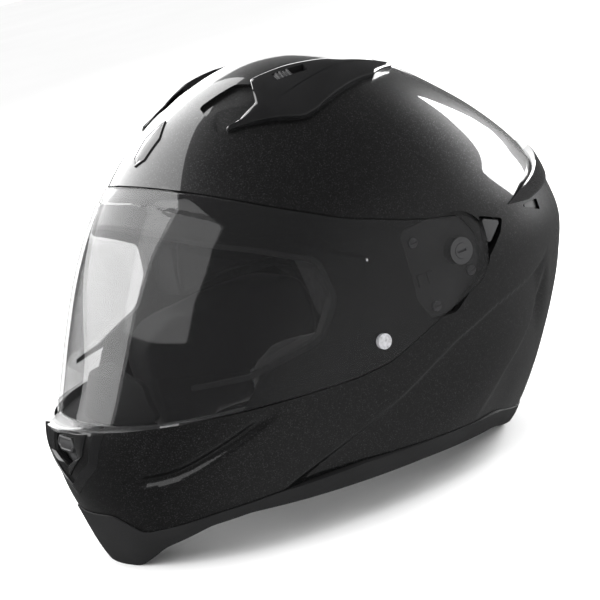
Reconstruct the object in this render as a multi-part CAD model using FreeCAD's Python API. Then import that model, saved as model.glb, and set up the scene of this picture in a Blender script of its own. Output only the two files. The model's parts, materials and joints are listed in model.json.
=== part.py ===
import FreeCAD, Part
import math
import os

# Full-face motorcycle helmet.  Millimetres.  Front is -Y, the wearer's left is +X, +Z is up.
# The origin is under the middle of the helmet, on the flat that its lower trim stands on.

# ---------------------------------------------------------------- driving dimensions

HEIGHT = 264.0            # crown above the table
CENTRE_SHARE = 0.42       # where the widest line lies, as a share of the front profile
DOME_CAP = 0.05           # the crown closes with a flat this far below the top

# Outer form, one row for each height: height, front y, rear y, half width,
# front roundness power, rear roundness power
FORM_ROWS = [
    (-25, -150, 92, 82, 2.0, 2.2),
    (0, -165, 110, 94, 1.95, 2.2),
    (25, -172, 127, 108, 1.95, 2.3),
    (50, -178, 142, 116, 2.0, 2.35),
    (75, -180, 156, 121, 2.05, 2.35),
    (100, -172, 168, 124, 2.15, 2.3),
    (125, -159, 174, 125, 2.2, 2.3),
    (150, -142, 170, 123, 2.2, 2.2),
    (175, -125, 155, 117, 2.15, 2.15),
    (200, -108, 134, 105, 2.1, 2.1),
    (220, -91, 112, 91, 2.05, 2.05),
    (238, -69, 89, 71, 2.0, 2.0),
    (251, -44, 65, 50, 2.0, 2.0),
    (260, -17, 40, 27, 2.0, 2.0),
    (264, 12, 12, 0, 2.0, 2.0),
]

SECTION_POINTS = 32       # points round one section
SECTION_STATIONS = [i / SECTION_POINTS for i in range(SECTION_POINTS + 1)]
SECTION_COUNT = 17        # sections from the rim to the crown
LOWEST_SECTION = -8.0
REACH = 260.0             # half length of the cutting prisms
ORIGIN_SHIFT = 4.33       # from the line that y is measured from here to the middle of the box

SHELL_WALL = 4.0
TRIM_PROUD = 0.8          # the rubber rim stands out this far
TRIM_DEPTH = 8.0          # and reaches this far into the helmet
LINER_GAP = 0.4           # between the shell and the foam
LINER_INNER = 34.0        # inner face of the foam, below the outer form
PAD_THICKNESS = 8.0
FIT_GAP = 0.4             # between pads and their neighbours
FOAM_GAP = 0.5            # between the foam and the shell's thicker places
STEP_MARGIN = 5.0         # the shell is thicker this far round the visor
STEP_BACK = 6.4           # down to this depth below the visor's outside
SIDE_BOSS = (38.0, 134.0, 40.0)   # thick round place behind each pivot: y, z, radius
SIDE_BOSS_DEPTH = 12.5
LIP_HEIGHT = 3.0          # the rear lip stands out this far

# Visor: it leans on a straight line at the front and lies just outside the shell at the sides
VISOR_FRONT = [(78, -173.5), (92, -166.5), (204, -107), (212, -98.5), (222, -88)]
VISOR_PROUD = 1.8         # side plates stand this far outside the shell
VISOR_WALL = 1.5
VISOR_GAP = 1.0           # air between the visor and the shell behind it
PIVOT_Y = 37.0
PIVOT_Z = 137.0
PIVOT_DISC = 20.0         # radius of the visor's round rear end
SPIGOT_RADIUS = 8.0
HUB_CLEARANCE = 0.06

PLATE_INNER_X = 117.0     # floor of the pocket for the visor mechanism
PLATE_WALL = 2.2
PIN_Y = -26.0
PIN_Z = 103.0
PIN_RADIUS = 4.5
PIN_INNER_X = 120.85      # the pin's flat inner end, just clear of the shell
PIN_LENGTH = 2.6
LEVER_Y = 69.4            # the release lever turns about a pin here
LEVER_Z = 143.9
LEVER_PIN = 1.4

RIM_Z = 23.0              # underside of the rim at the sides

# Side outlines, as (y, z, corner radius)
EYE_PORT = [
    (-215, 210, 0), (-128, 203, 0), (-109, 190, 25), (-94, 180, 0), (-72, 170.5, 0),
    (-46, 157.5, 9), (-44, 134, 9), (-58, 113, 14), (-100, 102.5, 0), (-126, 103, 0),
    (-146, 107.5, 20), (-215, 122, 0),
]
TRIM_TOP = [
    (-215, 36, 0), (-171, 36, 4), (-160, 23, 4), (-127, 30, 30), (-97, 33.5, 0), (-47, 35, 0),
    (5, 32.5, 0), (56, 29, 0), (92, 17, 20), (150, 12, 0),
]
TRIM_BOTTOM = [
    (150, 0, 0), (96, 0, 6), (80, 10, 12), (51, 20, 25), (-9, RIM_Z, 0), (-82, 24.5, 0),
    (-112, 25.5, 30), (-132, 22.5, 20), (-152, 12.5, 12), (-160.5, 0, 3), (-215, 0, 0),
]

# Plan outline of the left top vent cover, as (x, y, corner radius)
TOP_VENT = [
    (48, -58, 0.8), (76, -15, 14), (76, -6, 8), (66, 44, 3), (51, 70, 1.5), (51, 56, 0),
    (49, 34, 0), (40, 1, 0), (36, -21, 1.5), (53, -31, 3), (53, -44, 6),
]
TOP_SCOOP = [(20, -50, 3), (26, -26, 3), (36, -20, 0), (54, -31, 0), (53, -44, 4), (47, -57, 2)]
TOP_SLIDE_TRAVEL = 9.0    # stroke of a top vent slider


# ---------------------------------------------------------------- small geometry helpers

def vec(x, y, z):
    return FreeCAD.Vector(x, y, z)


def monotone_curve(xs, ys):
    """Smooth curve through the points that never overshoots them."""
    last = len(xs) - 1
    steps = [xs[i + 1] - xs[i] for i in range(last)]
    slopes = [(ys[i + 1] - ys[i]) / steps[i] for i in range(last)]
    tangents = [slopes[0]]
    for i in range(1, last):
        before, after = slopes[i - 1], slopes[i]
        if before * after <= 0:
            tangents.append(0.0)
            continue
        weight_before = 2 * steps[i] + steps[i - 1]
        weight_after = steps[i] + 2 * steps[i - 1]
        tangents.append((weight_before + weight_after) / (weight_before / before + weight_after / after))
    tangents.append(slopes[-1])

    def value(x):
        i = 0
        while i < last - 1 and x > xs[i + 1]:
            i += 1
        t = (x - xs[i]) / steps[i]
        ends = ys[i] * (1 + 2 * t) * (1 - t) ** 2 + ys[i + 1] * t * t * (3 - 2 * t)
        return ends + steps[i] * (tangents[i] * t * (1 - t) ** 2 - tangents[i + 1] * t * t * (1 - t))

    return value


def dome_height(z):
    """Height measured along a dome, so that the profiles meet the crown level."""
    if z < 0:
        return z
    return math.asin(min(1.0, z / HEIGHT)) * HEIGHT


DOME_STATIONS = [dome_height(row[0]) for row in FORM_ROWS]
ROW_CURVES = [monotone_curve(DOME_STATIONS, [row[k] for row in FORM_ROWS]) for k in range(1, 6)]


def form_row(z):
    """Front y, rear y, half width and the two powers of the outer form at one height."""
    station = dome_height(z)
    return [curve(station) for curve in ROW_CURVES]


def offset_profile(column, inset):
    """One profile of the form moved inwards along its normals, as a function of height."""
    count = 160
    lowest = FORM_ROWS[0][0]
    span = dome_height(HEIGHT) - lowest
    points = []
    for i in range(count + 1):
        station = lowest + span * i / count
        z = station if station < 0 else HEIGHT * math.sin(station / HEIGHT)
        points.append((z, ROW_CURVES[column](station)))
    side = 1.0 if column == 0 else -1.0
    moved = []
    for i, (z, value) in enumerate(points):
        before = points[max(i - 1, 0)]
        after = points[min(i + 1, count)]
        rise, run = after[0] - before[0], after[1] - before[1]
        length = math.hypot(rise, run)
        moved.append((z - side * inset * run / length, value + side * inset * rise / length))
    moved[-1] = (HEIGHT - inset, points[-1][1])
    heights = [moved[0][0]]
    values = [moved[0][1]]
    for z, value in moved[1:]:
        if z > heights[-1] + 1e-6:
            heights.append(z)
            values.append(value)

    def value_at(z):
        i = 0
        while i < len(heights) - 2 and z > heights[i + 1]:
            i += 1
        share = (z - heights[i]) / (heights[i + 1] - heights[i])
        return values[i] + (values[i + 1] - values[i]) * share

    return value_at


def section_wire(z, front, rear, centre, half_width, power_front, power_rear):
    """One closed level section of the form."""
    points = []
    for i in range(SECTION_POINTS):
        angle = 2 * math.pi * i / SECTION_POINTS
        cosine, sine = math.cos(angle), math.sin(angle)
        reach = centre - front if cosine > 0 else rear - centre
        power = power_front if cosine > 0 else power_rear
        total = (abs(cosine) / reach) ** power + (abs(sine) / half_width) ** power
        radius = total ** (-1.0 / power)
        points.append(vec(radius * sine, centre - radius * cosine, z))
    curve = Part.BSplineCurve()
    curve.interpolate(points, PeriodicFlag=True, Parameters=SECTION_STATIONS)
    return Part.Wire([curve.toShape()])


FORM_CACHE = {}


def form(inset):
    """The helmet's outer form as a solid, moved inwards by inset."""
    if inset in FORM_CACHE:
        return FORM_CACHE[inset]
    front = offset_profile(0, inset)
    rear = offset_profile(1, inset)
    width = offset_profile(2, inset)
    top = HEIGHT - inset - DOME_CAP
    wires = []
    for i in range(SECTION_COUNT):
        share = math.sin(0.5 * math.pi * i / (SECTION_COUNT - 1))
        z = LOWEST_SECTION + (top - LOWEST_SECTION) * share
        powers = form_row(min(z + max(inset, 0) * z / HEIGHT, HEIGHT - 1))[3:]
        centre = front(z) * CENTRE_SHARE + rear(z) * (1 - CENTRE_SHARE)
        wires.append(section_wire(z, front(z), rear(z), centre, width(z), powers[0], powers[1]))
    solid = Part.makeLoft(wires, True, False)
    FORM_CACHE[inset] = solid
    return solid


VISOR_CURVE = monotone_curve([p[0] for p in VISOR_FRONT], [p[1] for p in VISOR_FRONT])


def visor_form(inset):
    """The visor's outer form between its lower and upper edge, moved inwards by inset."""
    wires = []
    low, high, count = VISOR_FRONT[0][0], VISOR_FRONT[-1][0], 12
    for i in range(count):
        z = low + (high - low) * i / (count - 1)
        front, rear, width, power_front, power_rear = form_row(z)
        centre = front * CENTRE_SHARE + rear * (1 - CENTRE_SHARE)
        lean = 1.13 * inset
        out = VISOR_PROUD - inset
        wires.append(section_wire(z, VISOR_CURVE(z) + lean, rear + out, centre, width + out,
                                  power_front, power_rear))
    return Part.makeLoft(wires, True, False)


def rounded_wire(corners, to_vector):
    """Closed wire through the corners (a, b, radius), with an arc in each rounded corner."""
    count = len(corners)
    edges = []
    starts, ends, middles = [], [], []
    for i, (a, b, radius) in enumerate(corners):
        prior, following = corners[i - 1], corners[(i + 1) % count]
        to_prior = (prior[0] - a, prior[1] - b)
        to_next = (following[0] - a, following[1] - b)
        length_prior, length_next = math.hypot(*to_prior), math.hypot(*to_next)
        unit_prior = (to_prior[0] / length_prior, to_prior[1] / length_prior)
        unit_next = (to_next[0] / length_next, to_next[1] / length_next)
        dot = unit_prior[0] * unit_next[0] + unit_prior[1] * unit_next[1]
        angle = math.acos(max(-1.0, min(1.0, dot)))
        if radius <= 0 or angle > math.radians(178):
            starts.append((a, b))
            ends.append((a, b))
            middles.append(None)
            continue
        cut = min(radius / math.tan(angle / 2), 0.9 * length_prior, 0.9 * length_next)
        real_radius = cut * math.tan(angle / 2)
        bisector = (unit_prior[0] + unit_next[0], unit_prior[1] + unit_next[1])
        size = math.hypot(*bisector)
        to_middle = real_radius / math.sin(angle / 2) - real_radius
        starts.append((a + unit_prior[0] * cut, b + unit_prior[1] * cut))
        ends.append((a + unit_next[0] * cut, b + unit_next[1] * cut))
        middles.append((a + bisector[0] / size * to_middle, b + bisector[1] / size * to_middle))
    for i in range(count):
        if middles[i] is not None:
            arc = Part.Arc(to_vector(*starts[i]), to_vector(*middles[i]), to_vector(*ends[i]))
            edges.append(arc.toShape())
        here, there = to_vector(*ends[i]), to_vector(*starts[(i + 1) % count])
        if here.distanceToPoint(there) > 1e-6:
            edges.append(Part.makeLine(here, there))
    return Part.Wire(edges)


def side_prism(corners, x_low=-REACH, x_high=REACH):
    """Prism along X over a side outline given as (y, z, radius)."""
    wire = rounded_wire(corners, lambda a, b: vec(x_low, a, b))
    return Part.Face(wire).extrude(vec(x_high - x_low, 0, 0))


def plan_prism(corners, z_low=200.0, z_high=300.0):
    """Prism along Z over a plan outline given as (x, y, radius)."""
    wire = rounded_wire(corners, lambda a, b: vec(a, b, z_low))
    return Part.Face(wire).extrude(vec(0, 0, z_high - z_low))


def front_prism(corners, y_low=-230.0, y_high=-120.0):
    """Prism along Y over a front outline given as (x, z, radius)."""
    wire = rounded_wire(corners, lambda a, b: vec(a, y_low, b))
    return Part.Face(wire).extrude(vec(0, y_high - y_low, 0))


def block(x0, x1, y0, y1, z0, z1):
    return Part.makeBox(x1 - x0, y1 - y0, z1 - z0, vec(x0, y0, z0))


def side_disc(y, z, radius, x_low, x_high):
    return Part.makeCylinder(radius, x_high - x_low, vec(x_low, y, z), vec(1, 0, 0))


def mirrored(shape):
    return shape.mirror(vec(0, 0, 0), vec(1, 0, 0))


def both_sides(shape):
    return shape.fuse(mirrored(shape))


def grown(corners, amount):
    """A side or plan outline moved outwards by amount, corner by corner."""
    count = len(corners)
    area = sum(corners[i - 1][0] * corners[i][1] - corners[i][0] * corners[i - 1][1] for i in range(count))
    turn = 1.0 if area > 0 else -1.0
    moved = []
    for i, (a, b, radius) in enumerate(corners):
        prior, following = corners[i - 1], corners[(i + 1) % count]
        first = (a - prior[0], b - prior[1])
        second = (following[0] - a, following[1] - b)
        size_first, size_second = math.hypot(*first), math.hypot(*second)
        normal_first = (first[1] / size_first * turn, -first[0] / size_first * turn)
        normal_second = (second[1] / size_second * turn, -second[0] / size_second * turn)
        both = (normal_first[0] + normal_second[0], normal_first[1] + normal_second[1])
        scale = 2.0 / max(0.5, both[0] ** 2 + both[1] ** 2)
        moved.append((a + both[0] * amount * scale, b + both[1] * amount * scale, radius))
    return moved


def add_pair(name, shape, pieces):
    """Store a left piece and its right mirror image."""
    pieces[name + "_left"] = shape
    pieces[name + "_right"] = mirrored(shape)


# ---------------------------------------------------------------- visor outline

def visor_outline():
    """Side outline of the visor, with its round rear end about the pivot."""
    rear = PIVOT_Y + PIVOT_DISC
    return [
        (-215, 212, 0), (-99, 212, 0), (-88, 206.5, 30), (-58, 190, 0), (-26, 174.5, 0),
        (7, 164, 0), (33, PIVOT_Z + PIVOT_DISC + 0.4, 6), (rear, PIVOT_Z + PIVOT_DISC, PIVOT_DISC),
        (rear, 127, 24), (48, 116, 16), (12, 103.5, 10), (-23, 90, 18), (-45, 87.5, 0),
        (-107, 87.5, 0), (-215, 90.5, 0),
    ]


# ---------------------------------------------------------------- shell and rim

def shell_outside():
    """Outer form with the step that the visor closes against."""
    behind_visor = visor_form(VISOR_WALL + VISOR_GAP)
    recess = side_prism(grown(visor_outline(), 0.8)).cut(behind_visor)
    return form(0).cut(recess)


def base_plate_outline():
    return [
        (2, 158, 4), (24, 160, 6), (44, 156, 14), (54, 140, 16), (50, 121, 12), (26, 104, 6),
        (10, 104, 5), (2, 118, 4),
    ]


def lever_outline():
    return [(58.6, 149.5, 1.5), (72, 144.5, 1.5), (58.6, 133.5, 1.5)]


def lever_pocket_outline():
    return [(56.5, 152.0, 1), (74.4, 145.2, 1.5), (70, 138, 2), (56.5, 126.5, 1)]


def mechanism_pockets():
    """Pockets for the base plate, the visor's disc and the release lever, on the left."""
    plate = side_prism(grown(base_plate_outline(), 0.3), PLATE_INNER_X, 140)
    disc = side_disc(PIVOT_Y, PIVOT_Z, PIVOT_DISC + 0.8, 121.4, 140)
    lever = side_prism(lever_pocket_outline(), PLATE_INNER_X, 140)
    pin = side_disc(LEVER_Y, LEVER_Z, LEVER_PIN + 0.05, 115.4, 120)
    return plate.multiFuse([disc, lever, pin])


def shell_inside():
    """Cavity of the shell, with thicker walls behind the visor step and the mechanism."""
    thick_step = side_prism(grown(visor_outline(), STEP_MARGIN)).cut(visor_form(STEP_BACK))
    thick_side = side_disc(*SIDE_BOSS, 60, 140).cut(form(SIDE_BOSS_DEPTH))
    return form(SHELL_WALL).cut(thick_step).cut(both_sides(thick_side))


def chin_groove():
    """Long crease that runs back from the chin on the left side."""
    return side_prism([(-163, 55, 0), (-144, 57, 0), (-119, 68.5, 0), (-92, 84, 0), (-119, 71.5, 0),
                       (-146, 60.5, 0)], 30, 140).cut(form(1.4))


def rear_slots():
    """Openings under the rear spoiler on the left side."""
    return side_prism([(92, 147, 1), (113, 145.5, 1), (113, 138.5, 1)], 60, 140).cut(form(2.5))


def chin_vent_opening():
    return front_prism([(-9, 76.5, 2), (9, 76.5, 2), (7, 82.5, 2), (-7, 82.5, 2)], -200, -140)


def outer_shell():
    solid = shell_outside().cut(shell_inside())
    solid = solid.cut(side_prism(EYE_PORT))
    below = [(a, b, r) for a, b, r in TRIM_TOP] + [(150, -60, 0), (-215, -60, 0)]
    solid = solid.cut(side_prism(below))
    solid = solid.cut(both_sides(mechanism_pockets()))
    solid = solid.cut(both_sides(chin_groove()))
    solid = solid.cut(both_sides(rear_slots()))
    solid = solid.cut(both_sides(plan_prism(TOP_SCOOP).cut(form(2.4))))
    solid = solid.cut(both_sides(top_vent_port()))
    solid = solid.cut(chin_vent_opening())
    return solid


def lower_trim():
    """Rubber rim that caps the bottom edge of the shell and stands on the table."""
    band = side_prism(TRIM_TOP + TRIM_BOTTOM)
    ring = form(-TRIM_PROUD).cut(form(TRIM_DEPTH))
    return ring.common(band)


def eyeport_gasket():
    """Rubber bead round the eye port that the visor presses on."""
    ring = side_prism(EYE_PORT).cut(side_prism(grown(EYE_PORT, -3.0)))
    inner = form(7.5).fuse(visor_form(9.5))
    ahead = form(-1.0).common(block(-150, 150, -200, -20, 95, 210))
    return ahead.common(visor_form(VISOR_WALL + 1.3)).common(ring).cut(inner)


# ---------------------------------------------------------------- visor and its pieces

def visor():
    plate = visor_form(0).cut(visor_form(VISOR_WALL)).common(side_prism(visor_outline()))
    hub = side_disc(PIVOT_Y, PIVOT_Z, SPIGOT_RADIUS + HUB_CLEARANCE, 90, 140)
    plate = plate.cut(both_sides(hub))
    pin_hole = side_disc(PIN_Y, PIN_Z, PIN_RADIUS + 0.3, 90, 140)
    return plate.cut(both_sides(pin_hole))


def visor_tab():
    """Thumb lip along the lower front edge of the visor."""
    lip = Part.makeCylinder(34, 3.0, vec(0, -147.5, 89.3))
    lip = lip.cut(visor_form(-0.02))
    lip = lip.common(block(-30, 30, -190, -160, 80, 100))
    return lip


def anti_fog_insert():
    """Inner lens that lies against the inside of the visor."""
    window = [(-215, 190, 0), (-113, 184, 0), (-97, 172.5, 10), (-72, 162, 12), (-62, 150, 10),
              (-60, 130, 12), (-70, 119, 14), (-105, 108.5, 12), (-147, 114, 12), (-215, 120, 0)]
    layer = visor_form(VISOR_WALL + 0.05).cut(visor_form(VISOR_WALL + 0.85))
    return layer.common(side_prism(window))


def insert_pin():
    """Round pin in the visor's side plate that holds the inner lens."""
    return side_disc(PIN_Y, PIN_Z, PIN_RADIUS, PIN_INNER_X, PIN_INNER_X + PIN_LENGTH)


def base_plate():
    """Plate of the visor mechanism, with the spigot that the visor turns on."""
    plate = side_prism(base_plate_outline(), PLATE_INNER_X, PLATE_INNER_X + PLATE_WALL)
    spigot = side_disc(PIVOT_Y, PIVOT_Z, SPIGOT_RADIUS, PLATE_INNER_X, 126.0)
    hollow = side_disc(PIVOT_Y, PIVOT_Z, 4.6, 121.0, 127)
    plate = plate.fuse(spigot).cut(hollow)
    for y, z in base_plate_screw_places():
        plate = plate.cut(side_disc(y, z, 1.6, 110, 125))
    hooks = []
    for y in (9.0, 16.0):
        hooks.append(block(PLATE_INNER_X + PLATE_WALL, 120.8, y - 2, y + 2, 124, 131))
    return plate.multiFuse(hooks)


def base_plate_screw_places():
    return [(9.0, 150.0), (16.0, 110.0), (45.0, 122.5)]


def base_plate_screws():
    screws = []
    for y, z in base_plate_screw_places():
        stem = side_disc(y, z, 1.5, PLATE_INNER_X, PLATE_INNER_X + PLATE_WALL)
        head = side_disc(y, z, 3.0, PLATE_INNER_X + PLATE_WALL, PLATE_INNER_X + PLATE_WALL + 1.4)
        slot = block(PLATE_INNER_X + PLATE_WALL + 0.6, 125, y - 2.4, y + 2.4, z - 0.4, z + 0.4)
        screws.append(stem.fuse(head).cut(slot))
    return Part.makeCompound(screws)


def hub_cap():
    """Round cover pressed into the middle of the spigot."""
    stem = side_disc(PIVOT_Y, PIVOT_Z, 4.5, 121.0, 126.2)
    slot = block(125.4, 127, PIVOT_Y - 3.2, PIVOT_Y + 3.2, PIVOT_Z - 0.7, PIVOT_Z + 0.7)
    return stem.cut(slot)


def release_lever():
    plate = side_prism(lever_outline(), 118.2, 130).common(form(0.2))
    return plate.fuse(side_disc(LEVER_Y, LEVER_Z, LEVER_PIN, 115.6, 118.4))


# ---------------------------------------------------------------- vents

def top_vent_port():
    """Hole through the shell behind the mouth of the left top vent."""
    return Part.makeCylinder(4.5, 60, vec(46, -19, 215))


def top_vent_direction():
    return vec(0.18, 0.98, 0.04).normalize()


def aligned_block(centre, along, length, width, height):
    """Block round a centre, with its length along a direction that is nearly level."""
    solid = Part.makeBox(length, width, height, vec(-length / 2, -width / 2, -height / 2))
    turn = FreeCAD.Rotation(vec(1, 0, 0), along)
    lean = FreeCAD.Rotation(along, 22.0)
    solid.Placement = FreeCAD.Placement(centre, lean.multiply(turn))
    return solid


TOP_SLIDER_CENTRE = (48.5, -6.0, 254.4)


def top_vent_cover():
    raised = form(0).translated(vec(0.6, -2.6, 4.2))
    cover = plan_prism(TOP_VENT, 215, 290).common(raised).cut(form(0))
    mouth = form(0).translated(vec(0, -1.6, 2.6)).common(
        plan_prism([(30, -10, 0), (58, -22, 0), (52, -44, 0), (30, -30, 0)], 215, 290))
    cover = cover.cut(mouth)
    start = vec(*TOP_SLIDER_CENTRE)
    middle = start + top_vent_direction() * (TOP_SLIDE_TRAVEL / 2)
    track = aligned_block(middle, top_vent_direction(), 11.6 + TOP_SLIDE_TRAVEL, 7.6, 4.2)
    cover = cover.cut(track)
    return max(cover.Solids, key=lambda s: s.Volume)


def top_vent_slider():
    centre = vec(*TOP_SLIDER_CENTRE) + vec(0.2, 0, 0.5)
    knob = aligned_block(centre, top_vent_direction(), 11.0, 7.0, 4.4)
    ridges = []
    for step in (-3.2, 0.0, 3.2):
        place = centre + top_vent_direction() * step + vec(0.8, 0, 2.2)
        ridges.append(aligned_block(place, top_vent_direction(), 1.2, 5.6, 0.9))
    return knob.multiFuse(ridges)


def rear_spoiler():
    """Raised lip that wraps round the back above the exhaust slots."""
    outline = [(82, 151, 1.5), (104, 158, 10), (150, 167, 0), (200, 169, 0), (200, 152, 0),
               (140, 149.5, 0), (104, 147.6, 4)]
    return form(-LIP_HEIGHT).cut(form(0)).common(side_prism(outline))


def rear_vent_grille():
    """Dark grille at the bottom of the left exhaust slot."""
    slot = side_prism([(93, 146.4, 1), (112.4, 144.9, 1), (112.4, 139.4, 1)], 60, 140)
    return slot.common(form(1.5)).cut(form(2.5))


def chin_vent_frame():
    """Pointed frame on the front of the chin bar round the vent slider."""
    outline = [(-25, 87.6, 2), (-20, 75, 5), (0, 60.5, 5), (20, 75, 5), (25, 87.6, 2)]
    window = [(-12.6, 85.6, 1.5), (-14.4, 73.2, 1.5), (0, 66.8, 3), (14.4, 73.2, 1.5), (12.6, 85.6, 1.5)]
    layer = form(-2.0).cut(form(0))
    return layer.common(front_prism(outline)).cut(front_prism(window))


def chin_vent_slider():
    outline = [(-8.2, 84.6, 1.5), (-11.5, 79.4, 1.5), (-6.5, 75, 1), (6.5, 75, 1),
               (11.5, 79.4, 1.5), (8.2, 84.6, 1.5)]
    layer = form(-3.0).cut(form(-1.2))
    return layer.common(front_prism(outline))


def chin_lower_chevron():
    """Second pointed step below the chin vent."""
    outline = [(-38, 87.4, 2), (-29, 68, 6), (0, 47, 6), (29, 68, 6), (38, 87.4, 2), (31, 87.4, 1),
               (24.5, 72, 6), (0, 55.5, 6), (-24.5, 72, 6), (-31, 87.4, 1)]
    return form(-1.2).cut(form(0)).common(front_prism(outline))


def chin_vent_mesh():
    """Insect mesh behind the chin vent opening."""
    layer = form(4.1).cut(form(4.9))
    mesh = layer.common(front_prism([(-14, 73, 3), (14, 73, 3), (11, 84, 3), (-11, 84, 3)], -200, -140))
    holes = []
    for column in range(-4, 5):
        for line in range(3):
            holes.append(block(column * 2.8 - 0.9, column * 2.8 + 0.9, -200, -140,
                               74.6 + line * 2.9, 76.6 + line * 2.9))
    return mesh.cut(Part.makeCompound(holes))


# ---------------------------------------------------------------- foam and pads

def foam_clearance():
    """What the shell's thick places take from the foam."""
    step_outline = grown(visor_outline(), STEP_MARGIN + FOAM_GAP)
    thick_step = side_prism(step_outline).cut(visor_form(STEP_BACK + FOAM_GAP))
    y, z, radius = SIDE_BOSS
    thick_side = side_disc(y, z, radius + FOAM_GAP, 60, 140).cut(form(SIDE_BOSS_DEPTH + FOAM_GAP))
    return thick_step.fuse(both_sides(thick_side))


def eps_liner():
    """Impact foam from the brow over the crown and down the back of the head."""
    dome = form(SHELL_WALL + LINER_GAP).cut(form(LINER_INNER))
    face = [(-215, 212, 0), (-130, 206, 0), (-110, 193.5, 20), (-95, 183.5, 0), (-72, 174, 0),
            (-43, 160.5, 8), (-40.5, 118, 6), (52, 114, 12), (56, 42, 8), (150, 42, 0), (150, -40, 0),
            (-215, -40, 0)]
    dome = dome.cut(foam_clearance()).cut(side_prism(face))
    return dome.cut(both_sides(top_vent_port()))


def eps_chin():
    """Foam in the chin bar, with an air passage behind the vent."""
    bar = form(5.3).cut(form(22)).common(block(-150, 150, -200, -92, 38, 84))
    passage = front_prism([(-9, 73, 2), (9, 73, 2), (7, 81, 2), (-7, 81, 2)], -200, -120)
    return bar.cut(foam_clearance()).cut(passage)


def crown_pad():
    """Removable lining of the crown, brow and sides."""
    shell = form(LINER_INNER + FIT_GAP).cut(form(LINER_INNER + FIT_GAP + PAD_THICKNESS))
    face = [(-215, 212, 0), (-130, 206, 0), (-110, 195, 20), (-95, 185, 0), (-72, 176, 0),
            (-43, 162.5, 8), (-40, 119, 6), (150, 119, 0), (150, -40, 0), (-215, -40, 0)]
    return shell.cut(side_prism(face))


def nape_pad():
    shell = form(LINER_INNER + FIT_GAP).cut(form(LINER_INNER + FIT_GAP + PAD_THICKNESS))
    region = side_prism([(60, 46, 4), (150, 46, 0), (150, 118, 0), (60, 118, 4)])
    return shell.common(region)


def cheek_pad():
    """Left cheek pad, shaped to the jaw on its inner face."""
    body = form(10.5).common(side_prism(
        [(-84, 44, 14), (-84, 100, 10), (-62, 111, 10), (40, 112, 16), (46, 96, 14), (44, 36, 10),
         (-60, 36, 14)], 62, 140))
    jaw = Part.makeCylinder(84, 120, vec(-14, -24, 20), vec(0, 0, 1))
    slot = block(94.0, 125.0, -17, 13, 30, 70)
    return body.cut(jaw).cut(slot).cut(foam_clearance())


def neck_roll():
    ring = form(9.2).cut(form(30))
    region = side_prism([(58, 18, 5), (150, 12, 0), (150, 41.4, 0), (58, 41.4, 5)])
    return ring.common(region)


def breath_deflector():
    """Nose guard that stands up behind the chin bar."""
    wall = form(22.5).cut(form(25.0))
    outline = [(-46, 84.6, 3), (-34, 106, 8), (0, 117, 30), (34, 106, 8), (46, 84.6, 3)]
    return wall.common(front_prism(outline, -200, -100))


def chin_curtain():
    """Fabric flap that closes the space under the chin."""
    sheet = form(TRIM_DEPTH + 0.3).common(block(-120, 120, -200, -112, 25, 27.6))
    return sheet.cut(Part.makeCylinder(70, 20, vec(0, -70, 15)))


# ---------------------------------------------------------------- chin strap

STRAP_HALF = 12.0
STRAP_Y = -2.0
STRAP_WALL = 1.6
RING_X = 52.4
RING_Z = 62.0


def strap_sheet(path):
    """Webbing of even thickness that follows a path of (x, z, radius) seen from the front."""
    outer = rounded_strip(path, STRAP_WALL)
    wire = rounded_wire(outer, lambda a, b: vec(a, STRAP_Y - STRAP_HALF, b))
    return Part.Face(wire).extrude(vec(0, 2 * STRAP_HALF, 0))


def rounded_strip(path, wall):
    """Outline of a strip of even thickness along an open path."""
    left, right = [], []
    last = len(path) - 1
    for i, (x, z, radius) in enumerate(path):
        ahead = path[min(i + 1, last)]
        behind = path[max(i - 1, 0)]
        normals = []
        for start, end in ((behind, (x, z)), ((x, z), ahead)):
            dx, dz = end[0] - start[0], end[1] - start[1]
            size = math.hypot(dx, dz)
            if size > 1e-9:
                normals.append((-dz / size, dx / size))
        nx = sum(n[0] for n in normals) / len(normals)
        nz = sum(n[1] for n in normals) / len(normals)
        scale = 1.0 / max(0.2, nx * nx + nz * nz)
        nx, nz = nx * scale, nz * scale
        turn = 0.0
        if len(normals) == 2:
            turn = normals[0][0] * normals[1][1] - normals[0][1] * normals[1][0]
        grow = wall / 2 if turn < 0 else -wall / 2
        left.append((x + nx * wall / 2, z + nz * wall / 2, max(0.0, radius + grow) if radius else 0))
        right.append((x - nx * wall / 2, z - nz * wall / 2, max(0.0, radius - grow) if radius else 0))
    return left + right[::-1]


def strap_long():
    """Long half of the chin strap, folded up inside on the left."""
    path = [(100.0, 66, 0), (98.6, 32.6, 4), (56.4, 32.6, 5), (56.4, 98, 0)]
    return strap_sheet(path).cut(side_disc(STRAP_Y, 60, 2.6, 90, 140))


def strap_short():
    """Short half of the chin strap, with the loop that holds the rings."""
    path = [(100.0, 66, 0), (98.6, 32.6, 4), (58.2, 32.6, 5), (58.2, 66.0, 0)]
    web = strap_sheet(path).cut(side_disc(STRAP_Y, 60, 2.6, 90, 140))
    tube = Part.makeCylinder(6.0, 2 * STRAP_HALF, vec(RING_X, STRAP_Y - STRAP_HALF, RING_Z), vec(0, 1, 0))
    bore = Part.makeCylinder(4.4, 2 * STRAP_HALF + 2, vec(RING_X, STRAP_Y - STRAP_HALF - 1, RING_Z),
                             vec(0, 1, 0))
    return mirrored(web.fuse(tube).cut(bore))


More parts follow.
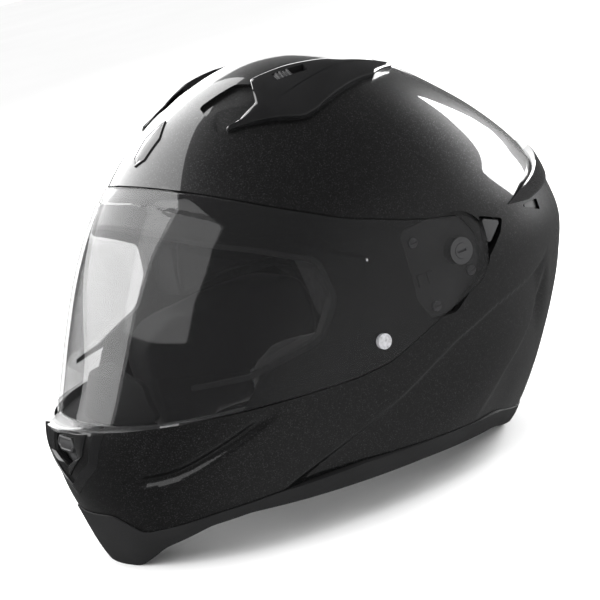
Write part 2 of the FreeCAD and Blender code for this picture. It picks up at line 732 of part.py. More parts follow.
def d_rings():
    """Two steel rings, side by side, that turn together in the strap loop."""
    wire_radius = 1.7
    half = STRAP_HALF + 2.6
    drop = 20.0
    rings = []
    for shift in (-2.1, 2.1):
        x = -RING_X + shift
        y_mid = STRAP_Y
        top, low = RING_Z, RING_Z - drop
        bar = Part.makeCylinder(wire_radius, 2 * half, vec(x, y_mid - half, top), vec(0, 1, 0))
        legs = []
        for side in (-1, 1):
            legs.append(Part.makeCylinder(wire_radius, drop - 6, vec(x, y_mid + side * half, low + 6),
                                          vec(0, 0, 1)))
            legs.append(Part.makeSphere(wire_radius, vec(x, y_mid + side * half, top)))
            legs.append(Part.makeSphere(wire_radius, vec(x, y_mid + side * half, low + 6)))
            slant = vec(0, -side * 6, -6)
            legs.append(Part.makeCylinder(wire_radius, slant.Length, vec(x, y_mid + side * half, low + 6), slant))
            legs.append(Part.makeSphere(wire_radius, vec(x, y_mid + side * (half - 6), low)))
        bottom = Part.makeCylinder(wire_radius, 2 * (half - 6), vec(x, y_mid - half + 6, low), vec(0, 1, 0))
        rings.append(bar.multiFuse(legs + [bottom]))
    return Part.makeCompound(rings)


def strap_rivet():
    """Rivet that fastens the strap to the shell."""
    stem = side_disc(STRAP_Y, 60, 2.5, 97.4, 125).common(form(SHELL_WALL + 0.1))
    return stem.fuse(side_disc(STRAP_Y, 60, 5.0, 95.8, 97.4))


def strap_snap():
    """Press stud that keeps the end of the long strap down."""
    base = side_disc(STRAP_Y, 88, 4.5, 53.2, 55.6)
    return base.cut(side_disc(STRAP_Y, 88, 2.4, 53, 54.2))


def front_badge():
    """Small blank badge on the forehead."""
    outline = [(-7, -86, 2), (0, -90, 2), (7, -86, 2), (9, -74, 2), (0, -62, 2), (-9, -74, 2)]
    return form(-1.0).cut(form(0)).common(plan_prism(outline, 205, 260))


# ---------------------------------------------------------------- assembly

def build():
    pieces = {
        "outer_shell": outer_shell(),
        "lower_trim": lower_trim(),
        "eyeport_gasket": eyeport_gasket(),
        "visor": visor(),
        "visor_tab": visor_tab(),
        "anti_fog_insert": anti_fog_insert(),
        "rear_spoiler": rear_spoiler(),
        "chin_vent_frame": chin_vent_frame(),
        "chin_vent_slider": chin_vent_slider(),
        "chin_lower_chevron": chin_lower_chevron(),
        "chin_vent_mesh": chin_vent_mesh(),
        "eps_liner": eps_liner(),
        "eps_chin": eps_chin(),
        "crown_pad": crown_pad(),
        "nape_pad": nape_pad(),
        "neck_roll": neck_roll(),
        "breath_deflector": breath_deflector(),
        "chin_curtain": chin_curtain(),
        "front_badge": front_badge(),
        "strap_long": strap_long(),
        "strap_short": strap_short(),
        "d_rings": d_rings(),
        "strap_snap": strap_snap(),
    }
    add_pair("insert_pin", insert_pin(), pieces)
    add_pair("base_plate", base_plate(), pieces)
    add_pair("base_plate_screws", base_plate_screws(), pieces)
    add_pair("hub_cap", hub_cap(), pieces)
    add_pair("release_lever", release_lever(), pieces)
    add_pair("top_vent_cover", top_vent_cover(), pieces)
    add_pair("top_vent_slider", top_vent_slider(), pieces)
    add_pair("rear_vent_grille", rear_vent_grille(), pieces)
    add_pair("cheek_pad", cheek_pad(), pieces)
    add_pair("strap_rivet", strap_rivet(), pieces)
    return pieces


os.makedirs("parts", exist_ok=True)
for node, shape in build().items():
    shape.translated(vec(0, ORIGIN_SHIFT, 0)).exportStep("parts/" + node + ".step")
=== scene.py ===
import json
import math

import bmesh
import bpy
import numpy as np
from mathutils import Matrix, Vector

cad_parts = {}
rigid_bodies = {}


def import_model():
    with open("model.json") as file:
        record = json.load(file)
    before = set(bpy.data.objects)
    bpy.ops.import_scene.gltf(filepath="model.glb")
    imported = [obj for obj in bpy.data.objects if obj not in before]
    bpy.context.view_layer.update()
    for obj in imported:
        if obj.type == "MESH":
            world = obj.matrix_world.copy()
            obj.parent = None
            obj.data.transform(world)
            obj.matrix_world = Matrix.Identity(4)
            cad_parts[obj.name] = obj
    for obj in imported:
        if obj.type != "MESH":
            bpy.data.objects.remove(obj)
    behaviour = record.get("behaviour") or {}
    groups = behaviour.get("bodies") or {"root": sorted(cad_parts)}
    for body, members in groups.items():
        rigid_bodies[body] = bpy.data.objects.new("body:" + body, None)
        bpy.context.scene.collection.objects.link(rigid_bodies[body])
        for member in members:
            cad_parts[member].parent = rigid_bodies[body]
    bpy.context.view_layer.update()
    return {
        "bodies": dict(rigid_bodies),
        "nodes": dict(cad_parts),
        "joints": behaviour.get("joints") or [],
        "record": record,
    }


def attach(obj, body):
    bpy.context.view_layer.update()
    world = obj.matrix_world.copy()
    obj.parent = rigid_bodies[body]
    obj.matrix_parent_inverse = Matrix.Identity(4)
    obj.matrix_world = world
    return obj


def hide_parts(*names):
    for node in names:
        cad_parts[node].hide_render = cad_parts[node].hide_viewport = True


# Looks of a full-face motorcycle helmet.  The form is written in millimetres, in the same frame as
# the CAD: front is -Y, the wearer's left is +X, +Z is up, and the rim stands on z = 0.

MM = 0.001
ORIGIN_SHIFT = 4.33           # the form's y is measured from a line this far behind the origin

# ---------------------------------------------------------------- the outer form

HEIGHT = 264.0
CENTRE_SHARE = 0.42

# height, front y, rear y, half width, front roundness power, rear roundness power
FORM_ROWS = [
    (-25, -150, 92, 82, 2.0, 2.2),
    (0, -165, 110, 94, 1.95, 2.2),
    (25, -172, 127, 108, 1.95, 2.3),
    (50, -178, 142, 116, 2.0, 2.35),
    (75, -180, 156, 121, 2.05, 2.35),
    (100, -172, 168, 124, 2.15, 2.3),
    (125, -159, 174, 125, 2.2, 2.3),
    (150, -142, 170, 123, 2.2, 2.2),
    (175, -125, 155, 117, 2.15, 2.15),
    (200, -108, 134, 105, 2.1, 2.1),
    (220, -91, 112, 91, 2.05, 2.05),
    (238, -69, 89, 71, 2.0, 2.0),
    (251, -44, 65, 50, 2.0, 2.0),
    (260, -17, 40, 27, 2.0, 2.0),
    (264, 12, 12, 0, 2.0, 2.0),
]

# height and y of the visor's straight, leaning front
VISOR_FRONT = [(78, -173.5), (92, -166.5), (204, -107), (212, -98.5), (222, -88)]
VISOR_PROUD = 1.8
VISOR_WALL = 1.5
VISOR_GAP = 1.0
SHELL_WALL = 4.0
CROWN_MARGIN = 1.2            # rows of points stop this far short of the very top
CUT_REACH = 200.0             # cutters run this far, well past the shell
TRIM_PROUD = 0.8
TRIM_DEPTH = 8.0
PIVOT = (37.0, 137.0)
PIVOT_DISC = 20.0
PIN = (-26.0, 103.0)

# side outlines, as (y, z, corner radius)
EYE_PORT = [
    (-215, 210, 0), (-128, 203, 0), (-109, 190, 25), (-94, 180, 0), (-72, 170.5, 0),
    (-46, 157.5, 9), (-44, 134, 9), (-58, 113, 14), (-100, 102.5, 0), (-126, 103, 0),
    (-146, 107.5, 20), (-215, 122, 0),
]
VISOR_EDGE = [
    (-215, 212, 0), (-99, 212, 4), (-88, 206.5, 30), (-58, 190, 90), (-26, 174.5, 90),
    (7, 164, 60), (33, 157.4, 6), (57, 157, 20), (57, 127, 24), (48, 116, 16), (12, 103.5, 22),
    (-23, 90, 30), (-45, 87.5, 60), (-107, 87.5, 60), (-215, 90.5, 0),
]
RIM_LINE = [
    (-215, 36, 0), (-171, 36, 4), (-160, 23, 4), (-127, 30, 30), (-97, 33.5, 60), (-47, 35, 60),
    (5, 32.5, 60), (56, 29, 40), (92, 17, 20), (160, 12, 0),
]
RIM_FOOT = [
    (-215, 0, 0), (-160.5, 0, 3), (-152, 12.5, 12), (-132, 22.5, 20), (-112, 25.5, 30), (-82, 24.5, 40),
    (-9, 23, 60), (51, 20, 25), (80, 10, 12), (96, 0, 6), (160, 0, 0),
]
BASE_PLATE = [(2, 158, 4), (24, 160, 6), (44, 156, 14), (54, 140, 16), (50, 121, 12), (26, 104, 6),
              (10, 104, 5), (2, 118, 4)]
LEVER_POCKET = [(56.5, 152, 1), (74.4, 145.2, 1.5), (70, 138, 2), (56.5, 126.5, 1)]
REAR_SLOT = [(92, 147, 0.8), (113, 145.5, 0.8), (113, 138.5, 0.8)]
REAR_LIP = [(82, 151), (104, 158), (150, 167), (200, 169)]
REAR_LIP_FOOT = [(82, 151), (104, 147.6), (140, 149.5), (200, 152)]

# outlines seen from above, as (x, y, corner radius)
TOP_VENT = [
    (48, -58, 0.8), (76, -15, 14), (76, -6, 8), (66, 44, 3), (51, 70, 1.5), (51, 56, 0), (49, 34, 40),
    (40, 1, 40), (36, -21, 1.5), (53, -31, 3), (53, -44, 6),
]
TOP_VENT_SPINE = np.array([(51.5, -50), (56, -42), (60, -28), (60, -8), (57, 20), (55, 44), (52, 64)],
                          float)
TOP_SCOOP = [(20, -50, 3), (26, -26, 3), (36, -20, 0), (54, -31, 0), (53, -44, 4), (47, -57, 2)]
SCOOP_SPINE = np.array([(33, -46), (42, -36)], float)
TOP_MOUTH = [(39, -27), (52, -35), (58, -20), (46, -8)]
MOUTH_SPINE = np.array([(47, -24), (50, -22)], float)
BADGE = [(-7, -86, 1), (0, -90, 1), (7, -86, 1), (9, -74, 1), (0, -62, 1), (-9, -74, 1)]
BADGE_SPINE = np.array([(0, -84), (0, -68)], float)

# outlines seen from the front, as (x, z)
CHIN_FRAME = [(-25, 87.6), (-20, 75), (0, 60.5), (20, 75), (25, 87.6)]
CHIN_WINDOW = [(-12.6, 85.6), (-14.4, 73.2), (0, 66.8), (14.4, 73.2), (12.6, 85.6)]
CHIN_SLIDER = [(-8.2, 84.6, 1), (-11.5, 79.4, 1), (-6.5, 75, 1), (6.5, 75, 1), (11.5, 79.4, 1),
               (8.2, 84.6, 1)]
CHIN_SLIDER_SPINE = np.array([(-6, 79.6), (6, 79.6)], float)
CHEVRON_OUTER = [(-38, 87.4), (-29, 68), (0, 47), (29, 68), (38, 87.4)]
CHEVRON_INNER = [(-31, 87.4), (-24.5, 72), (0, 55.5), (24.5, 72), (31, 87.4)]


def monotone_curve(xs, ys):
    """Smooth curve through the points that never overshoots them."""
    xs, ys = np.array(xs, float), np.array(ys, float)
    steps = np.diff(xs)
    slopes = np.diff(ys) / steps
    tangents = [slopes[0]]
    for i in range(1, len(slopes)):
        before, after = slopes[i - 1], slopes[i]
        if before * after <= 0:
            tangents.append(0.0)
            continue
        w1, w2 = 2 * steps[i] + steps[i - 1], steps[i] + 2 * steps[i - 1]
        tangents.append((w1 + w2) / (w1 / before + w2 / after))
    tangents = np.array(tangents + [slopes[-1]])

    def value(x):
        i = np.clip(np.searchsorted(xs, x, side="right") - 1, 0, len(steps) - 1)
        t = (x - xs[i]) / steps[i]
        ends = ys[i] * (1 + 2 * t) * (1 - t) ** 2 + ys[i + 1] * t * t * (3 - 2 * t)
        return ends + steps[i] * (tangents[i] * t * (1 - t) ** 2 - tangents[i + 1] * t * t * (1 - t))

    return value


def dome_station(z):
    """Height measured along a dome, so that the profiles meet the crown level."""
    z = np.asarray(z, float)
    return np.where(z < 0, z, np.arcsin(np.clip(z / HEIGHT, 0, 1)) * HEIGHT)


def dome_z(station):
    """Height of a station: the way back from dome_station."""
    return np.where(station < 0, station, HEIGHT * np.sin(station / HEIGHT))


ROW_STATIONS = [float(dome_station(row[0])) for row in FORM_ROWS]
ROW_CURVES = [monotone_curve(ROW_STATIONS, [row[k] for row in FORM_ROWS]) for k in range(1, 6)]
VISOR_CURVE = monotone_curve([p[0] for p in VISOR_FRONT], [p[1] for p in VISOR_FRONT])
TOP_STATION = float(dome_station(HEIGHT))


def section_at(station, visor):
    """Centre, front reach, rear reach, half width and powers of the section at a station."""
    front, rear, width, power_front, power_rear = [curve(station) for curve in ROW_CURVES]
    centre = front * CENTRE_SHARE + rear * (1 - CENTRE_SHARE)
    if visor:
        front = VISOR_CURVE(dome_z(station))
        rear, width = rear + VISOR_PROUD, width + VISOR_PROUD
    return centre, centre - front, rear - centre, np.maximum(width, 1e-3), power_front, power_rear


def skin(angle, station, visor=False):
    """Points of the outer form.  Angle 0 is the front and 90 degrees the wearer's left."""
    angle, station = np.broadcast_arrays(np.asarray(angle, float), np.asarray(station, float))
    centre, ahead, behind, width, power_front, power_rear = section_at(station, visor)
    cosine, sine = np.cos(angle), np.sin(angle)
    reach = np.maximum(np.where(cosine > 0, ahead, behind), 1e-3)
    power = np.where(cosine > 0, power_front, power_rear)
    total = (np.abs(cosine) / reach) ** power + (np.abs(sine) / width) ** power
    radius = total ** (-1.0 / power)
    return np.stack([radius * sine, centre - radius * cosine, dome_z(station)], -1)


def skin_normal(angle, station, visor=False):
    """Outward unit normals of the outer form."""
    turn, rise = 2e-3, 0.6
    station = np.clip(station, None, TOP_STATION - CROWN_MARGIN)
    across = skin(angle + turn, station, visor) - skin(angle - turn, station, visor)
    upward = skin(angle, station + rise, visor) - skin(angle, station - rise, visor)
    normal = np.cross(across, upward)
    return normal / np.maximum(np.linalg.norm(normal, axis=-1, keepdims=True), 1e-9)


def lifted(angle, station, lift, visor=False):
    """Points of the outer form moved out along its normals."""
    lift = np.asarray(lift, float)[..., None]
    return skin(angle, station, visor) + skin_normal(angle, station, visor) * lift


def from_side(y, z, visor=False):
    """Angle and station of the left side's point at this y and z."""
    y, z = np.broadcast_arrays(np.asarray(y, float), np.asarray(z, float))
    station = dome_station(z)
    centre, ahead, behind, width, power_front, power_rear = section_at(station, visor)
    in_front = y < centre
    reach = np.where(in_front, ahead, behind)
    power = np.where(in_front, power_front, power_rear)
    share = np.clip(np.abs(y - centre) / reach, 0, 1)
    x = width * (1 - share ** power) ** (1 / power)
    return np.arctan2(x, centre - y), station


def from_front(x, z, visor=False):
    """Angle and station of the front's point at this x and z."""
    x, z = np.broadcast_arrays(np.asarray(x, float), np.asarray(z, float))
    station = dome_station(z)
    centre, ahead, _, width, power, _ = section_at(station, visor)
    share = np.clip(np.abs(x) / width, 0, 1)
    depth = ahead * (1 - share ** power) ** (1 / power)
    return np.arctan2(x, depth), station


def from_above(x, y):
    """Angle and station of the upper point at this x and y."""
    x, y = np.broadcast_arrays(np.asarray(x, float), np.asarray(y, float))
    low = np.full(x.shape, float(dome_station(110.0)))
    high = np.full(x.shape, TOP_STATION - 1e-3)
    for _ in range(40):
        middle = (low + high) / 2
        centre, ahead, behind, width, power_front, power_rear = section_at(middle, False)
        in_front = y < centre
        reach = np.maximum(np.where(in_front, ahead, behind), 1e-3)
        power = np.where(in_front, power_front, power_rear)
        inside = (np.abs(x) / width) ** power + (np.abs(y - centre) / reach) ** power < 1
        low, high = np.where(inside, middle, low), np.where(inside, high, middle)
    centre = section_at(low, False)[0]
    return np.arctan2(x, centre - y), low


def place_top(points, lift=0.0):
    """Puts an outline that is seen from above on the form."""
    angle, station = from_above(points[..., 0], points[..., 1])
    return lifted(angle, station, lift * np.ones_like(angle))


def place_front(points, lift=0.0):
    """Puts an outline that is seen from the front on the form."""
    angle, station = from_front(points[..., 0], points[..., 1])
    return lifted(angle, station, lift * np.ones_like(angle))


# ---------------------------------------------------------------- outlines

def rounded(corners, closed=True, step=1.5):
    """Points along an outline of (a, b, radius) corners, with an arc in each rounded corner."""
    points = []
    count = len(corners)
    for i, (a, b, radius) in enumerate(corners):
        here = np.array((a, b), float)
        if radius <= 0 or (not closed and i in (0, count - 1)):
            points.append(here)
            continue
        prior, following = np.array(corners[i - 1][:2]), np.array(corners[(i + 1) % count][:2])
        back, ahead = prior - here, following - here
        length_back, length_ahead = np.linalg.norm(back), np.linalg.norm(ahead)
        back, ahead = back / length_back, ahead / length_ahead
        angle = math.acos(np.clip(back @ ahead, -1, 1))
        if angle > math.radians(179):
            points.append(here)
            continue
        cut = min(radius / math.tan(angle / 2), 0.9 * length_back, 0.9 * length_ahead)
        real = cut * math.tan(angle / 2)
        centre = here + (back + ahead) / np.linalg.norm(back + ahead) * real / math.sin(angle / 2)
        start, end = here + back * cut - centre, here + ahead * cut - centre
        sweep = math.pi - angle
        turns = max(3, int(real * sweep / step) + 1)
        for k in range(turns + 1):
            share = k / turns
            spread = (start * math.sin((1 - share) * sweep) + end * math.sin(share * sweep))
            points.append(centre + spread / math.sin(sweep))
    return np.array(points)


def resampled(points, spacing, closed=True):
    """The same outline with points at an even spacing."""
    loop = np.vstack([points, points[:1]]) if closed else points
    lengths = np.r_[0, np.cumsum(np.linalg.norm(np.diff(loop, axis=0), axis=1))]
    count = max(8, int(round(lengths[-1] / spacing)))
    stops = np.linspace(0, lengths[-1], count + (0 if closed else 1), endpoint=not closed)
    return np.stack([np.interp(stops, lengths, loop[:, k]) for k in range(loop.shape[1])], 1)


def nearest_on(points, line):
    """Distance to a polyline and the nearest point on it, for each point."""
    best = np.full(points.shape[:-1], 1e9)
    spot = np.zeros(points.shape)
    for a, b in zip(line[:-1], line[1:]):
        along = b - a
        share = np.clip(((points - a) @ along) / max(along @ along, 1e-9), 0, 1)
        foot = a + share[..., None] * along
        gap = np.linalg.norm(points - foot, axis=-1)
        closer = gap < best
        best = np.where(closer, gap, best)
        spot = np.where(closer[..., None], foot, spot)
    return best, spot


def ease(value, low, high):
    """0 below low, 1 above high, and a smooth step between."""
    t = np.clip((value - low) / (high - low), 0, 1)
    return t * t * (3 - 2 * t)


# ---------------------------------------------------------------- mesh building

def linked(name, data):
    """Object in the scene for a mesh, light or camera."""
    obj = bpy.data.objects.new(name, data)
    bpy.context.scene.collection.objects.link(obj)
    return obj


def smooth_shaded(mesh, angle):
    """Smooth faces, with edges sharper than the angle kept hard."""
    mesh.polygons.foreach_set("use_smooth", [True] * len(mesh.polygons))
    mesh.set_sharp_from_angle(angle=math.radians(angle))


def new_object(name, points, faces, material):
    """Object from points in millimetres."""
    mesh = bpy.data.meshes.new(name)
    placed = (np.asarray(points).reshape(-1, 3) + (0, ORIGIN_SHIFT, 0)) * MM
    mesh.from_pydata(placed.tolist(), [], faces)
    mesh.validate()
    mesh.materials.append(material)
    smooth_shaded(mesh, 40)
    return linked(name, mesh)


def grid_faces(rows, columns, start=0, wrap_rows=False, wrap_columns=False, flip=False):
    """Quads over a grid of points that are stored row by row."""
    faces = []
    for i in range(rows if wrap_rows else rows - 1):
        for j in range(columns if wrap_columns else columns - 1):
            a = start + i * columns + j
            b = start + i * columns + (j + 1) % columns
            c = start + ((i + 1) % rows) * columns + (j + 1) % columns
            d = start + ((i + 1) % rows) * columns + j
            faces.append((a, d, c, b) if flip else (a, b, c, d))
    return faces


def rim_steps(rows, columns):
    """Pairs of neighbouring points around the rim of a grid."""
    rim = list(range(columns))
    rim += [i * columns + columns - 1 for i in range(1, rows)]
    rim += [(rows - 1) * columns + i for i in range(columns - 2, -1, -1)]
    rim += [i * columns for i in range(rows - 2, 0, -1)]
    return zip(rim, rim[1:] + rim[:1])


def capped(name, rings, material, merge=0.01):
    """Closed piece over a stack of closed rings, with a flat cap at each end."""
    count, size = len(rings[0]), len(rings) * len(rings[0])
    faces = grid_faces(len(rings), count, wrap_columns=True)
    faces += [tuple(range(count))[::-1], tuple(range(size - count, size))]
    return tidy(new_object(name, np.vstack(rings), faces, material), merge)


def strip(name, rings, material):
    """Closed bar whose section is stepped through by open rings, with a cap at each end."""
    count = len(rings[0])
    faces = grid_faces(len(rings), count, wrap_rows=True)
    faces.append(tuple(i * count for i in range(len(rings))))
    faces.append(tuple(i * count + count - 1 for i in range(len(rings)))[::-1])
    return tidy(new_object(name, np.vstack(rings), faces, material))


def tidy(obj, merge=0.01):
    """Merges doubled points and turns all faces outwards."""
    work = bmesh.new()
    work.from_mesh(obj.data)
    bmesh.ops.remove_doubles(work, verts=work.verts, dist=merge * MM)
    bmesh.ops.dissolve_degenerate(work, edges=work.edges, dist=0.001 * MM)
    bmesh.ops.recalc_face_normals(work, faces=work.faces)
    work.to_mesh(obj.data)
    work.free()
    smooth_shaded(obj.data, 38)
    return obj


def mirrored(obj, name):
    """Mirror image of an object on the other side of the helmet."""
    mesh = obj.data.copy()
    mesh.transform(Matrix.Diagonal((-1, 1, 1, 1)))
    mesh.flip_normals()
    return linked(name, mesh)


def apply_modifiers(obj):
    """Bakes an object's modifiers into its mesh."""
    graph = bpy.context.evaluated_depsgraph_get()
    mesh = bpy.data.meshes.new_from_object(obj.evaluated_get(graph))
    obj.modifiers.clear()
    obj.data = mesh
    return obj


def combine(obj, other, operation):
    """Booleans an object with a closed one, and removes that one."""
    step = obj.modifiers.new("combine", "BOOLEAN")
    step.operation, step.solver, step.object = operation, "MANIFOLD", other
    apply_modifiers(obj)
    bpy.data.objects.remove(other)


def cut_away(obj, cutters):
    """Takes closed cutter objects away from an object, and removes them."""
    for cutter in cutters:
        combine(obj, cutter, "DIFFERENCE")
    smooth_shaded(obj.data, 32)
    return obj


def prism(name, outline, axis, low, high, material):
    """Closed prism over an outline, along X, Y or Z."""
    order = {"x": (2, 0, 1), "y": (0, 2, 1), "z": (0, 1, 2)}[axis]
    rings = []
    for depth in (low, high):
        raw = np.column_stack([outline, np.full(len(outline), depth)])
        rings.append(raw[:, order])
    return capped(name, rings, material)


SPINE_SHARE = 0.97            # rings stop this far towards the spine, and a thin cap closes them


def toward(outline, spine):
    """For each outline point, the vector to the nearest spine point and its length."""
    _, spot = nearest_on(outline, spine)
    move = spot - outline
    return move, np.maximum(np.linalg.norm(move, axis=1), 1e-6)


def raised(name, outline, spine, place, edge, crown, material, sink=-1.0, taper=None):
    """Raised piece that follows the form, with a shaped edge and an even crown up to its spine.

    edge lists (distance in from the outline, lift), and crown is the lift over the spine.
    """
    move, reach = toward(outline, spine)
    rings = [place(outline, sink)]

    def add_ring(share, lift):
        points = outline + move * share[:, None]
        height = np.full(len(outline), float(lift))
        if taper is not None:
            height = height * taper(points)
        rings.append(place(points, height))

    for distance, lift in edge:
        add_ring(np.minimum(distance / reach, 1.0), lift)
    last, edge_lift = np.minimum(edge[-1][0] / reach, 1.0), edge[-1][1]
    steps = 10
    for k in range(1, steps + 1):
        rise = math.sin(k / steps * math.pi / 2)
        add_ring(last + (SPINE_SHARE - last) * k / steps, edge_lift + (crown - edge_lift) * rise)
    rings.insert(0, place(outline + move * SPINE_SHARE, sink))
    return capped(name, rings, material, 0.001)


def slab(name, outline, spine, place, low, high, material):
    """Closed layer of the form between two lifts, used as a cutter or a plain panel."""
    return raised(name, outline, spine, place, [(0.0, high)], high, material, sink=low)


def ring_piece(name, outer, inner, place, profile, material):
    """Closed ring between two matching outlines.

    profile lists (share of the way from outer to inner, lift) around the section.
    """
    rings = [place(outer + (inner - outer) * share, lift) for share, lift in profile]
    faces = grid_faces(len(rings), len(outer), wrap_rows=True, wrap_columns=True)
    return tidy(new_object(name, np.vstack(rings), faces, material))


def softened(obj, width, segments=3, angle=35):
    """Rounds the hard edges of an object."""
    bevel = obj.modifiers.new("edge", "BEVEL")
    bevel.width, bevel.segments = width * MM, segments
    bevel.limit_method, bevel.angle_limit = "ANGLE", math.radians(angle)
    bevel.harden_normals = False
    apply_modifiers(obj)
    smooth_shaded(obj.data, 50)
    return obj


def along_corners(corners, steps):
    """Evenly stepped points between each pair of corners of a closed outline."""
    points = []
    for i, corner in enumerate(corners):
        following = np.array(corners[(i + 1) % len(corners)], float)
        for k in range(steps):
            points.append(np.array(corner, float) + (following - np.array(corner, float)) * k / steps)
    return np.array(points)


# ---------------------------------------------------------------- materials

class Nodes:
    """Short way to wire a material's nodes."""

    def __init__(self, name):
        self.material = bpy.data.materials.new(name)
        self.material.use_nodes = True
        self.tree = self.material.node_tree
        self.tree.nodes.clear()
        self.output = self.tree.nodes.new("ShaderNodeOutputMaterial")
        self.place = self.add("ShaderNodeTexCoord").outputs["Object"]

    def add(self, kind, **settings):
        node = self.tree.nodes.new(kind)
        for key, value in settings.items():
            setattr(node, key, value)
        return node

    def link(self, source, target):
        self.tree.links.new(source, target)

    def noise(self, scale, detail=3.0, rough=0.5, stretch=None):
        node = self.add("ShaderNodeTexNoise")
        node.inputs["Scale"].default_value = scale
        node.inputs["Detail"].default_value = detail
        node.inputs["Roughness"].default_value = rough
        self.link(self.stretched(stretch), node.inputs["Vector"])
        return node.outputs["Fac"]

    def stretched(self, stretch):
        if stretch is None:
            return self.place
        node = self.add("ShaderNodeMapping")
        node.inputs["Scale"].default_value = stretch
        self.link(self.place, node.inputs["Vector"])
        return node.outputs["Vector"]

    def cells(self, scale, output="Color"):
        node = self.add("ShaderNodeTexVoronoi")
        node.inputs["Scale"].default_value = scale
        self.link(self.place, node.inputs["Vector"])
        return node.outputs[output]

    def ramp(self, source, stops):
        node = self.add("ShaderNodeValToRGB")
        ramp = node.color_ramp
        while len(ramp.elements) < len(stops):
            ramp.elements.new(0.5)
        for element, (position, colour) in zip(ramp.elements, stops):
            element.position = position
            element.color = (*colour, 1) if len(colour) == 3 else colour
        self.link(source, node.inputs["Fac"])
        return node.outputs["Color"]

    def remap(self, source, low, high):
        node = self.add("ShaderNodeMapRange")
        node.inputs["To Min"].default_value = low
        node.inputs["To Max"].default_value = high
        self.link(source, node.inputs["Value"])
        return node.outputs["Result"]

    def math(self, operation, a, b=None):
        node = self.add("ShaderNodeMath", operation=operation)
        for socket, value in zip(node.inputs, (a, b)):
            if value is None:
                continue
            if isinstance(value, (int, float)):
                socket.default_value = value
            else:
                self.link(value, socket)
        return node.outputs[0]

    def bump(self, height, strength, distance=0.001):
        node = self.add("ShaderNodeBump")
        node.inputs["Strength"].default_value = strength
        node.inputs["Distance"].default_value = distance
        self.link(height, node.inputs["Height"])
        return node.outputs["Normal"]

    def principled(self, **values):
        node = self.add("ShaderNodeBsdfPrincipled")
        for key, value in values.items():
            socket = node.inputs[key.replace("_", " ")]
            if isinstance(value, (int, float, tuple)):
                socket.default_value = value
            else:
                self.link(value, socket)
        return node

    def finish(self, shader):
        self.link(shader.outputs[0], self.output.inputs["Surface"])
        return self.material


SHEET_IOR = 2.0               # above the real sheet's, for the share of the surface that is left clear
GRAZING_IOR = 1.3             # how soon the sheet turns opaque towards its edges
COOL_TINT = 1.04


def grey(value):
    """Grey with a touch of blue."""
    return (value, value, value * COOL_TINT)


def paint_material():
    """Black lacquer with fine metal flake under a clear coat."""
    n = Nodes("shell_lacquer")
    flake = n.cells(2100.0)
    split = n.add("ShaderNodeSeparateColor")
    n.link(flake, split.inputs["Color"])
    cloud = n.noise(9.0, 2.0)
    sparkle = n.math("MULTIPLY", n.math("POWER", split.outputs[0], 5.0), n.remap(cloud, 0.6, 1.3))
    colour = n.ramp(sparkle, [(0.0, grey(0.008)), (0.55, grey(0.020)), (1.0, grey(0.050))])
    tilt = n.bump(split.outputs[1], 0.05, 0.0003)
    rough = n.remap(n.noise(260.0), 0.36, 0.46)
    peel = n.bump(n.noise(120.0, 1.0), 0.004, 0.001)
    shader = n.principled(Base_Color=colour, Metallic=0.72, Roughness=rough, Normal=tilt,
                          Coat_Weight=1.0, Coat_Roughness=0.025, Coat_IOR=1.5, Coat_Normal=peel)
    return n.finish(shader)


def gloss_material():
    """Piano black mouldings: vent covers, chin frame and rear lip."""
    n = Nodes("gloss_moulding")
    rough = n.remap(n.noise(300.0), 0.07, 0.13)
    wave = n.bump(n.noise(60.0, 2.0), 0.01, 0.001)
    colour = n.ramp(n.noise(40.0), [(0.3, grey(0.006)), (0.8, grey(0.011))])
    return n.finish(n.principled(Base_Color=colour, Roughness=rough, Normal=wave, Coat_Weight=0.5,
                                 Coat_Roughness=0.05))


def rubber_material(name, base, rough):
    """Moulded rubber with a fine stipple."""
    n = Nodes(name)
    stipple = n.noise(900.0, 2.0)
    dust = n.noise(22.0, 4.0)
    colour = n.ramp(dust, [(0.3, grey(base)), (0.8, grey(base * 1.5))])
    normal = n.bump(stipple, 0.25, 0.0003)
    return n.finish(n.principled(Base_Color=colour, Roughness=n.remap(stipple, rough, rough + 0.15),
                                 Normal=normal, Specular_IOR_Level=0.35))


def plastic_material(name, base, rough):
    """Moulded plastic with a fine grain and slightly polished high spots."""
    n = Nodes(name)
    fine = n.noise(700.0, 2.0)
    broad = n.noise(30.0, 3.0)
    colour = n.ramp(broad, [(0.3, grey(base)), (0.8, grey(base * 1.35))])
    normal = n.bump(fine, 0.15, 0.0003)
    return n.finish(n.principled(Base_Color=colour, Roughness=n.remap(broad, rough, rough + 0.12),
                                 Normal=normal))


def tinted_material(name, clear_share, body, rough=0.02):
    """Tinted see-through polycarbonate: a dark glossy body over what is behind it."""
    n = Nodes(name)
    clear = n.add("ShaderNodeBsdfTransparent")
    haze = n.noise(14.0, 3.0)
    surface = n.principled(Roughness=n.remap(haze, rough, rough + 0.02), IOR=SHEET_IOR)
    surface.inputs["Base Color"].default_value = (*grey(body), 1)
    fresnel = n.add("ShaderNodeFresnel")
    fresnel.inputs["IOR"].default_value = GRAZING_IOR
    facing = n.math("SUBTRACT", 1.0, n.add("ShaderNodeNewGeometry").outputs["Backfacing"])
    grazing = n.math("MULTIPLY", fresnel.outputs[0], facing)
    share = n.math("MAXIMUM", n.remap(haze, 0.97 - clear_share, 1.02 - clear_share), grazing)
    mix = n.add("ShaderNodeMixShader")
    n.link(share, mix.inputs[0])
    n.link(clear.outputs[0], mix.inputs[1])
    n.link(surface.outputs[0], mix.inputs[2])
    return n.finish(mix)


